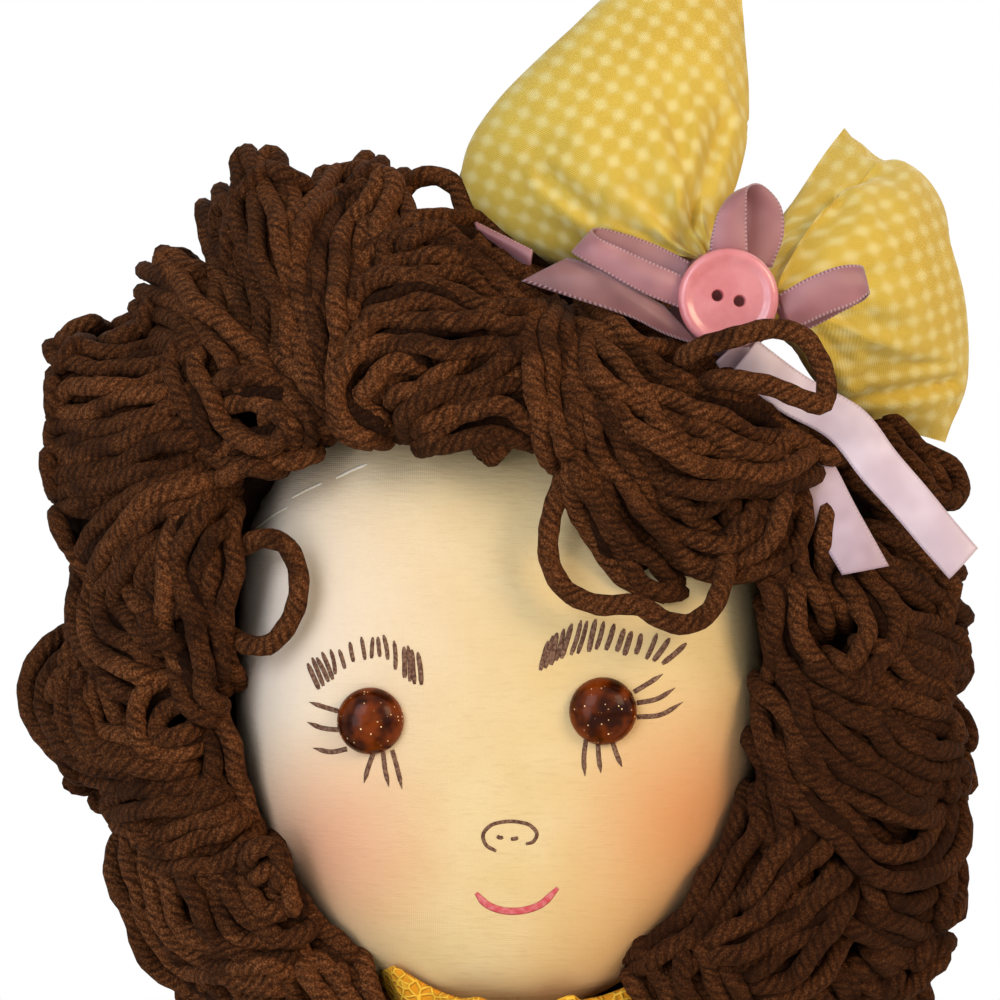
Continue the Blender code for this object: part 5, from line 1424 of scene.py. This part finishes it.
def make_button(plastic):
    """The two-hole button: a profile turned about its middle, with a rim, a dish and rounded holes."""
    low, high = (np.array(corner) + BUTTON_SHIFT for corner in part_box("bow_button"))
    middle = (low + high) / 2
    radius = (high[0] - low[0]) / 2
    thick = (high[1] - low[1]) / MM
    profile = [(radius * share, height * MM) for share, height in (
        (0.6, 0), (0.93, 0), (0.97, 0.15), (0.995, 0.6), (1, 1.2), (1, thick - 1.3), (0.985, thick - 0.7),
        (0.955, thick - 0.3), (0.90, thick - 0.05), (0.86, thick), (0.82, thick - 0.08),
        (0.78, thick - 0.30), (0.73, thick - 0.55), (0.68, thick - 0.68), (0.6, thick - 0.72),
        (0.45, thick - 0.75))]
    button = closed_form("button_plastic", [turned_rings(middle, profile, high[1], 128)])
    bore = [(reach * MM, height * MM) for reach, height in (
        (1.2, -2), (1.2, thick - 1.25), (1.28, thick - 0.98), (1.5, thick - 0.7), (1.5, 8))]
    for side in (-1, 1):
        centre = middle + np.array((math.cos(HOLE_TILT), 0, math.sin(HOLE_TILT))) * side * HOLE_SPREAD
        cut_away(button, closed_form("hole", [turned_rings(centre, bore, high[1], 40)]))
    settle(button, plastic, "head", ("bow_button",))
    button.data.shade_smooth()
    button.data.set_sharp_from_angle(angle=math.radians(50))


# Dress, torso and limbs

TORSO_HEIGHT = 0.150
TORSO_HALF_WIDTH = 0.050
TORSO_DEPTH_SHARE = 0.68
TORSO_HEIGHT_SHARES = (0.0, 0.04, 0.16, 0.32, 0.47, 0.64, 0.80, 0.90, 0.96, 1.0)
TORSO_WIDTH_SHARES = (0.84, 0.94, 1.0, 0.94, 0.86, 0.88, 0.90, 0.80, 0.60, 0.34)
NECK_PIVOT_Z = 0.178
NECK_RADIUS = 0.012
NECK_LOW_Z = 0.130
NECK_BALL = np.array((15.8, 15.8, 15.2)) * MM
FLOOR_GAP = 0.2 * MM
CLOTH = 1.2 * MM

# The stuffed forms: how far they stay inside the solids, how fine they are, their swelling and their lumps
SKIN_INSET = 0.2 * MM
BODY_VOXEL = 2.2 * MM
ARM_VOXEL = 1.8 * MM
LIMB_PRESSURE = 1.0
LIMB_SWELL = 0.6 * MM
LUMP = 0.35 * MM

# The dress: its ease over the torso, and the skirt's waist, reaches and hem
DRESS_EASE = 1.7 * MM
NECKLINE_SHARE = 0.985
SKIRT_WAIST_SHARE = 0.467
SKIRT_TOP = 69.7 * MM
SKIRT_HALF_WIDTH = 74 * MM
SKIRT_FRONT_REACH = 84 * MM
SKIRT_BACK_REACH = 66 * MM
SKIRT_HEM = 22 * MM
SKIRT_HEM_OVER_LEGS = 54 * MM
SKIRT_FOLD = 2.6 * MM

# The collar: its ease, how far it spreads and waves, its highest place at the left and its dip in front
COLLAR_EASE = 3.2 * MM
COLLAR_SPREAD = 9.5 * MM
COLLAR_WAVE = 2.6 * MM
COLLAR_LIFT = 5.5 * MM
COLLAR_LIFT_CLOCK = math.radians(226)
COLLAR_DIP = 2.4 * MM


def table(places, values, at):
    """A smooth curve through a table of values, read at places from 0 to 1."""
    even = np.linspace(0, 1, 400)
    return np.interp(at, even, smooth_values(np.array(places), np.array(values)[:, None], even)[:, 0])


def torso_form(shares, turn, grow):
    """Points of the torso's form at shares of its height and turns round it, grown outwards."""
    half = table(TORSO_HEIGHT_SHARES, TORSO_WIDTH_SHARES, shares) * TORSO_HALF_WIDTH
    flat = np.interp(shares, (TORSO_HEIGHT_SHARES[-3], 1), (TORSO_DEPTH_SHARE, 1))
    x = (half + grow)[:, None] * np.cos(turn)
    y = (half * flat + grow)[:, None] * np.sin(turn)
    return np.stack([x, y, (shares * TORSO_HEIGHT)[:, None] + 0 * turn], axis=2)


def surface_uv(points):
    """Places on the cloth in metres: distance round each ring at its middle row, and distance down."""
    closed = np.concatenate([points, points[:, :1]], axis=1)
    around = travelled(closed[len(closed) // 2])
    steps = np.linalg.norm(np.diff(closed, axis=0), axis=2).mean(axis=1)
    down = np.concatenate([[0], np.cumsum(steps)])
    return np.stack(np.broadcast_arrays(around[None, :], down[:, None]), axis=2)


def cloth_shell(name, points, cloth, body, node, slot="gingham"):
    """A gathered garment piece: both faces of a closed-round grid."""
    both = shell(points, CLOTH)
    uv = surface_uv(points)
    piece = grid_piece(name, np.concatenate([both, both[:1]]), cloth, body, weld=1e-7,
                       uv=np.concatenate([uv, uv[::-1], uv[:1]]), slot=slot, nodes=(node,))
    return piece


def make_bodice(cloth):
    """The dress bodice: the torso's own form, let out a little."""
    turn = full_turn(200)
    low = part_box("dress_bodice")[0][2]
    shares = np.linspace(low / TORSO_HEIGHT + 0.001, NECKLINE_SHARE, 60)
    points = torso_form(shares, turn, DRESS_EASE)
    crease = np.sin(9 * turn + 40 * shares[:, None]) * np.sin(23 * shares[:, None] + 2 * np.sin(turn))
    points[..., :2] *= 1 + 0.007 * crease[..., None]
    cloth_shell("bodice_cloth", points, cloth, "torso", "dress_bodice")


def make_skirt(cloth):
    """The gathered skirt: folds that deepen from the waist to the hem, which is raised over the legs."""
    turn = full_turn(520)
    shares = np.linspace(0, 1, 70)[:, None]
    front, back = np.maximum(0, -np.sin(turn)), np.maximum(0, np.sin(turn))
    wide, deep = torso_form(np.array([SKIRT_WAIST_SHARE]), turn, DRESS_EASE)[0, :, :2].max(axis=0)
    out = shares ** 0.8
    hem_y = np.where(np.sin(turn) < 0, SKIRT_FRONT_REACH, SKIRT_BACK_REACH)
    x = (wide + (SKIRT_HALF_WIDTH - wide) * out) * np.cos(turn)
    y = (deep + (hem_y - deep) * out) * np.sin(turn)
    folds = np.cos(13 * turn + 0.9 * np.sin(2 * turn)) + 0.35 * np.cos(29 * turn + 2)
    gathers = 0.35 * np.cos(64 * turn) * np.exp(-shares * 9) + 1
    grow = 1 + (SKIRT_FOLD * out * folds + gathers * MM) / np.hypot(x, y)
    hem = SKIRT_HEM + (SKIRT_HEM_OVER_LEGS - SKIRT_HEM) * np.minimum(1, front / 0.67)
    hem = hem - 0.3 * SKIRT_HEM * back
    fall = shares ** (1.15 + 0.5 * front)
    z = SKIRT_TOP + (hem - SKIRT_TOP) * fall - 0.4 * MM * (1 - front) * shares * folds
    points = np.stack([x * grow, y * grow, z], axis=2)
    cloth_shell("skirt_cloth", points, cloth, "torso", "dress_skirt")


def make_collar(net):
    """The lace ruffle: a waved ring that rises round the chin, highest at its left."""
    low, high = (corner[2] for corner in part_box("collar_ruffle"))
    turn = full_turn(440)
    share = np.linspace(0, 1, 26)[:, None]
    wide, deep = torso_form(np.array([NECKLINE_SHARE]), turn, COLLAR_EASE)[0, :, :2].max(axis=0)
    wave = COLLAR_WAVE * share * (np.cos(11 * turn) + 0.3 * np.cos(23 * turn + 1))
    out = COLLAR_SPREAD * share ** 1.6 + wave
    lift = COLLAR_LIFT * np.exp(-((turn - COLLAR_LIFT_CLOCK) / 0.42) ** 2)
    rise = high - low - 1 * MM - COLLAR_DIP * np.exp(-((turn - 1.5 * np.pi) / 0.9) ** 2)
    z = low + 0.6 * MM + (rise + lift) * share + wave / 2
    points = np.stack([(wide + out) * np.cos(turn), (deep + out) * np.sin(turn), z], axis=2)
    ruffle = cloth_shell("collar_lace", points, net, None, "collar_ruffle",
                         slot="golden_lace")
    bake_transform(ruffle)


def limb(name, forms, cloth, body, node, voxel=BODY_VOXEL):
    """A stuffed piece: closed forms run together by a voxel remesh, smoothed, swollen, a little lumpy."""
    obj = closed_form(name, forms)
    remesh = obj.modifiers.new("run_together", "REMESH")
    remesh.mode, remesh.voxel_size = "VOXEL", voxel
    soften = obj.modifiers.new("soften", "SMOOTH")
    soften.factor, soften.iterations = 0.5, 6
    apply_modifiers(obj)
    stuff(obj, LIMB_PRESSURE, LIMB_SWELL)
    finer = obj.modifiers.new("finer", "SUBSURF")
    finer.levels = finer.render_levels = 1
    apply_modifiers(obj)
    spots = spots_of(obj)
    x, y, z = spots.T / MM
    lumps = LUMP * (np.sin(x / 4.3 + 1.3) * np.sin(y / 5.1) + np.sin(z / 4.7 + y / 9))
    spots = spots + spots_of(obj, "normal") * lumps[:, None]
    spots[:, 2] = np.maximum(spots[:, 2], FLOOR_GAP)
    obj.data.vertices.foreach_set("co", spots.ravel())
    obj.data.update()
    obj.data.shade_smooth()
    settle(obj, cloth, body, (node,))


def ball_rings(centre, sizes, tip_angle=0):
    """Rings over an ellipsoid, tipped about X."""
    level = np.linspace(-np.pi / 2, np.pi / 2, 26)[1:-1, None]
    x, y, z = (ball_form(level, full_turn(40)) * sizes).transpose(2, 0, 1)
    c, s = math.cos(tip_angle), math.sin(tip_angle)
    return np.stack([x, c * y - s * z, s * y + c * z], axis=2) + centre


def make_torso(cloth):
    """The stuffed torso, its neck and the ball that the head turns on."""
    turn = full_turn(60)
    body = torso_form(np.linspace(0.003, 1, 50), turn, -SKIN_INSET)
    heights = np.linspace(NECK_LOW_Z, NECK_PIVOT_Z, 12)[:, None]
    x, y, z = np.broadcast_arrays(NECK_RADIUS * np.cos(turn), NECK_RADIUS * np.sin(turn), heights)
    neck = np.stack([x, y, z], axis=2)
    limb("torso_cloth", [body, neck, ball_rings((0, 0, NECK_PIVOT_Z), NECK_BALL)], cloth, "torso", "torso")


ARM_SHARES = (0.0, 0.12, 0.35, 0.55, 0.72, 0.86, 1.0)
ARM_WIDTHS = (1.0, 1.0, 0.92, 0.82, 0.68, 0.88, 0.80)
ARM_FLATNESS = (1.0, 1.0, 1.0, 0.96, 0.86, 0.64, 0.50)
ARM_LENGTH = 0.116
ARM_RADIUS = 0.015
ARM_SPREAD_DEGREES = 22
SHOULDER = np.array((0.063497, 0, 0.12))
THUMB = np.array((5.1, 5.1, 12.8)) * MM
THUMB_TILT = math.radians(38)

# The sleeve: its length as a share of the arm, its ease at the ends and its puff between them
SLEEVE_SHARE = 0.469
SLEEVE_EASE = 1.8
SLEEVE_PUFF = 4.2


def arm_form(side, along, grow):
    """Rings of the arm from its round shoulder to the mitten's tip, each grown outwards."""
    spread = math.radians(ARM_SPREAD_DEGREES)
    aim = np.array((side * math.sin(spread), 0, -math.cos(spread)))
    across = np.array((side * math.cos(spread), 0, math.sin(spread)))
    whole = ARM_LENGTH + ARM_RADIUS
    near = np.clip(np.minimum(along, 1 - along) * whole / ARM_RADIUS, 0, 1)
    wide = table(ARM_SHARES, ARM_WIDTHS, along) * ARM_RADIUS * np.sqrt(1 - (1 - near) ** 2)
    thin = wide * table(ARM_SHARES, ARM_FLATNESS, along)
    start = SHOULDER * (side, 1, 1) - aim * ARM_RADIUS
    turn = full_turn(64)[None, :, None]
    rings = start + aim * (along * whole - grow * (1 - near))[:, None, None]
    rings = rings + np.cos(turn) * (thin + grow)[:, None, None] * across
    rings = rings + np.sin(turn) * (wide + grow)[:, None, None] * (0, 1, 0)
    return rings, start + aim * (whole - 2 * ARM_RADIUS)


def make_arm(side, label, cloth, print_cloth):
    """The stuffed arm with its mitten and thumb, and the puffed sleeve drawn in over the shoulder."""
    body = "arm_" + label
    rings, palm = arm_form(side, np.linspace(0.006, 0.994, 70), -SKIN_INSET)
    thumb = ball_rings(palm - (0, 0.8 * ARM_RADIUS, 0), THUMB, THUMB_TILT)
    limb("arm_cloth_" + label, [rings, thumb], cloth, body, body, ARM_VOXEL)
    low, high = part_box("sleeve_" + label)
    share = np.linspace(0, 1, 52) ** 1.4
    puff = SLEEVE_EASE + SLEEVE_PUFF * np.sin(np.pi * share)
    points, _ = arm_form(side, 0.001 + SLEEVE_SHARE * share, puff * MM)
    centre = points.mean(axis=1, keepdims=True)
    gather = 1 + 0.035 * np.cos(16 * full_turn(64)) * (0.35 + np.abs(2 * share[:, None] - 1))
    gather = gather * np.minimum(1, 0.12 + 40 * share[:, None])
    points = centre + (points - centre) * gather[..., None]
    inner = side * (low[0] if side > 0 else high[0]) + 0.8 * MM
    points[..., 0] = side * np.maximum(side * points[..., 0], inner)
    cloth_shell("sleeve_cloth_" + label, points, print_cloth, body, "sleeve_" + label)


LEG_SHARES = (0.0, 0.10, 0.34, 0.56, 0.80, 1.0)
LEG_WIDTHS = (1.0, 1.0, 0.94, 0.84, 0.80, 0.62)
LEG_LENGTH = 0.190
LEG_RADIUS = 0.022
FOOT = np.array((0.0150, 0.0160, 0.0320))
HIP = np.array((0.027, -0.036, 0.0215))
HEEL_RISE = 2.2 * MM
SHOE_OUTER = 2.6 * MM
SHOE_INNER = 0.7 * MM
SHOE_RINGS = 60
SHOE_SIDES = 96


def leg_form(side, along, grow):
    """Rings of the leg from its round hip to the ankle inside the foot."""
    whole = LEG_LENGTH + LEG_RADIUS - FOOT[1]
    near = np.clip(np.minimum(along * whole / LEG_RADIUS, (1 - along) * whole / FOOT[1]), 0, 1)
    half = table(LEG_SHARES, LEG_WIDTHS, along) * LEG_RADIUS * np.sqrt(1 - (1 - near) ** 2) + grow
    turn = full_turn(64)
    y = HIP[1] + LEG_RADIUS - (along * whole)[:, None] + 0 * turn
    x, z = side * HIP[0] + half[:, None] * np.cos(turn), HIP[2] + half[:, None] * np.sin(turn)
    return np.stack([x, y, z], axis=2)


def make_leg(side, label, cloth, wool):
    """The stuffed leg with its foot, and the shoe on it."""
    body = "leg_" + label
    heel = np.array((side * HIP[0], HIP[1] - LEG_LENGTH + FOOT[1], FOOT[2] + HEEL_RISE))
    rings = leg_form(side, np.linspace(0.004, 0.996, 80), -SKIN_INSET)
    limb("leg_cloth_" + label, [rings, ball_rings(heel, FOOT - 0.3 * MM)], cloth, body, body)
    make_shoe(side, label, heel, wool)


def make_shoe(side, label, heel, wool):
    """The soft shoe: a felt shell between two ellipsoids, open where the ankle comes out and flat below."""
    form = ball_form(np.linspace(-np.pi / 2, np.pi / 2, SHOE_RINGS)[:, None], full_turn(SHOE_SIDES))
    walls = np.stack([heel + form * (FOOT + grow) for grow in (SHOE_OUTER, SHOE_INNER)])
    quads = grid_quads(SHOE_RINGS, SHOE_SIDES, True)
    quads = np.concatenate([quads, quads[:, ::-1] + form.size // 3])
    shoe = fix_normals(new_object("shoe_felt_" + label, walls, quads), weld=1e-6, turn_out=False)
    cut_away(shoe, closed_form("ankle", [leg_form(side, np.linspace(0.30, 0.97, 24), 1 * MM)]))
    block = np.array([[(x, y, z) for x, y in ((-0.2, -0.4), (0.2, -0.4), (0.2, 0.2), (-0.2, 0.2))]
                      for z in (-0.05, FLOOR_GAP)])
    cut_away(shoe, closed_form("ground", [block]))
    shoe.data.shade_smooth()
    shoe.data.set_sharp_from_angle(angle=math.radians(45))
    settle(shoe, wool, "leg_" + label, ("shoe_" + label,))


# Stage, light and camera

# Each lamp: its place, size, power in watts and colour
FACE_MIDDLE = (0, -0.03, 0.26)
LAMPS = {
    "key": ((-0.55, -1.05, 0.75), 0.6, 5.2, "#EEF3FF"),
    "fill": ((-0.62, -0.95, 0.16), 0.5, 2.5, "#F6F2FF"),
    "warm": ((0.75, -0.75, 0.70), 0.45, 5.6, "#FFDDB4"),
    "rim": ((0.2, 0.8, 0.9), 0.8, 4, "#FFFFFF"),
}
SOFT_LIGHT = 0.42


def make_stage():
    """The plain floor that the doll sits on."""
    mesh = bpy.data.meshes.new("floor")
    mesh.from_pydata([(-3, -3, 0), (3, -3, 0), (3, 0.4, 0), (-3, 0.4, 0)], [], [(0, 1, 2, 3)])
    floor = bpy.data.objects.new("floor", mesh)
    floor.data.materials.append(floor_paint())
    bpy.context.scene.collection.objects.link(floor)


def area_light(name, spot, size, power, hex_text):
    """A square soft light at a spot, turned to face the doll's face."""
    light = bpy.data.lights.new(name, "AREA")
    light.size = size
    light.energy = power
    light.color = linear(hex_text)[:3]
    lamp = bpy.data.objects.new(name, light)
    lamp.location = spot
    forward = unit(np.subtract(FACE_MIDDLE, spot))
    lamp.rotation_euler = (math.acos(-forward[2]), 0, math.atan2(forward[0], -forward[1]) + math.pi)
    bpy.context.scene.collection.objects.link(lamp)


def make_world():
    """A white background for camera, glossy and transmission rays, and a dimmer soft light from all round."""
    world = bpy.data.worlds.new("studio")
    bpy.context.scene.world = world
    world.use_nodes = True
    tree = world.node_tree
    tree.nodes.clear()
    kinds = ("OutputWorld", "MixShader", "LightPath", "Math", "Math", "Background", "Background")
    output, mixer, rays, glossy, clear, soft, seen = (tree.nodes.new("ShaderNode" + kind) for kind in kinds)
    glossy.operation = clear.operation = "MAXIMUM"
    for background, colour, strength in ((soft, linear("#F4F1EC"), SOFT_LIGHT), (seen, (1, 1, 1, 1), 1)):
        background.inputs[0].default_value = colour
        background.inputs[1].default_value = strength
    for start, end in (
        (rays.outputs["Is Camera Ray"], glossy.inputs[0]),
        (rays.outputs["Is Glossy Ray"], glossy.inputs[1]),
        (glossy.outputs[0], clear.inputs[0]),
        (rays.outputs["Is Transmission Ray"], clear.inputs[1]),
        (clear.outputs[0], mixer.inputs[0]),
        (soft.outputs[0], mixer.inputs[1]),
        (seen.outputs[0], mixer.inputs[2]),
        (mixer.outputs[0], output.inputs[0]),
    ):
        tree.links.new(start, end)


def make_camera():
    """The camera at the photograph's height, looking level at the face."""
    lens = bpy.data.cameras.new("camera")
    lens.sensor_width = SENSOR_WIDTH
    lens.lens = FOCAL_PIXELS * SENSOR_WIDTH / IMAGE_SIZE
    lens.clip_start = 0.01
    camera = bpy.data.objects.new("camera", lens)
    camera.location = CAMERA_PLACE
    camera.rotation_euler = (math.pi / 2, 0, 0)
    bpy.context.scene.collection.objects.link(camera)
    bpy.context.scene.camera = camera
    bpy.context.scene.view_settings.view_transform = "Standard"


make_camera()
make_stage()
make_world()
for lamp_name, lamp_plan in LAMPS.items():
    area_light(lamp_name, *lamp_plan)

plain = muslin("muslin")
check = gingham("gingham")
# One ribbon in lit and shaded copies: the loops, the knot and the left tail's end darker as painted shade,
# the left tail darkest as painted shade, the lower tail lighter, and the right tail palest as painted light
loop_silk = satin("satin_ribbon_loops_painted_shade", "#8E5860", "#A97278")
tail_silks = {
    "ribbon_tail_left": satin("satin_ribbon_shaded", "#77484A", "#91605F"),
    "ribbon_tail_lower": satin("satin_ribbon_lit_tail", "#AD94A1", "#CDB8C6"),
    "ribbon_tail_right": satin("satin_ribbon_in_painted_light", "#CDBBCA", "#EADDEA"),
}
make_head(muslin("muslin_face", face=True))
make_face()
bead = goldstone()
make_eye("eye_left", bead)
make_eye("eye_right", bead)
make_hair(yarn())
for lobe in LOBES:
    make_lobe(lobe, gingham("gingham_" + lobe, LOBES[lobe]["weave"]))
make_knot(loop_silk)
for ribbon_name, rows in RIBBONS.items():
    ribbon(ribbon_name + "_silk", rows, tail_silks.get(ribbon_name, loop_silk), (ribbon_name,))
ribbon("ribbon_tail_left_end", RIBBON_END, loop_silk)
make_button(pink_plastic())
make_collar(lace())
make_bodice(check)
make_skirt(check)
make_torso(plain)
wool = felt()
for side, label in ((-1, "left"), (1, "right")):
    make_arm(side, label, plain, check)
    make_leg(side, label, plain, wool)
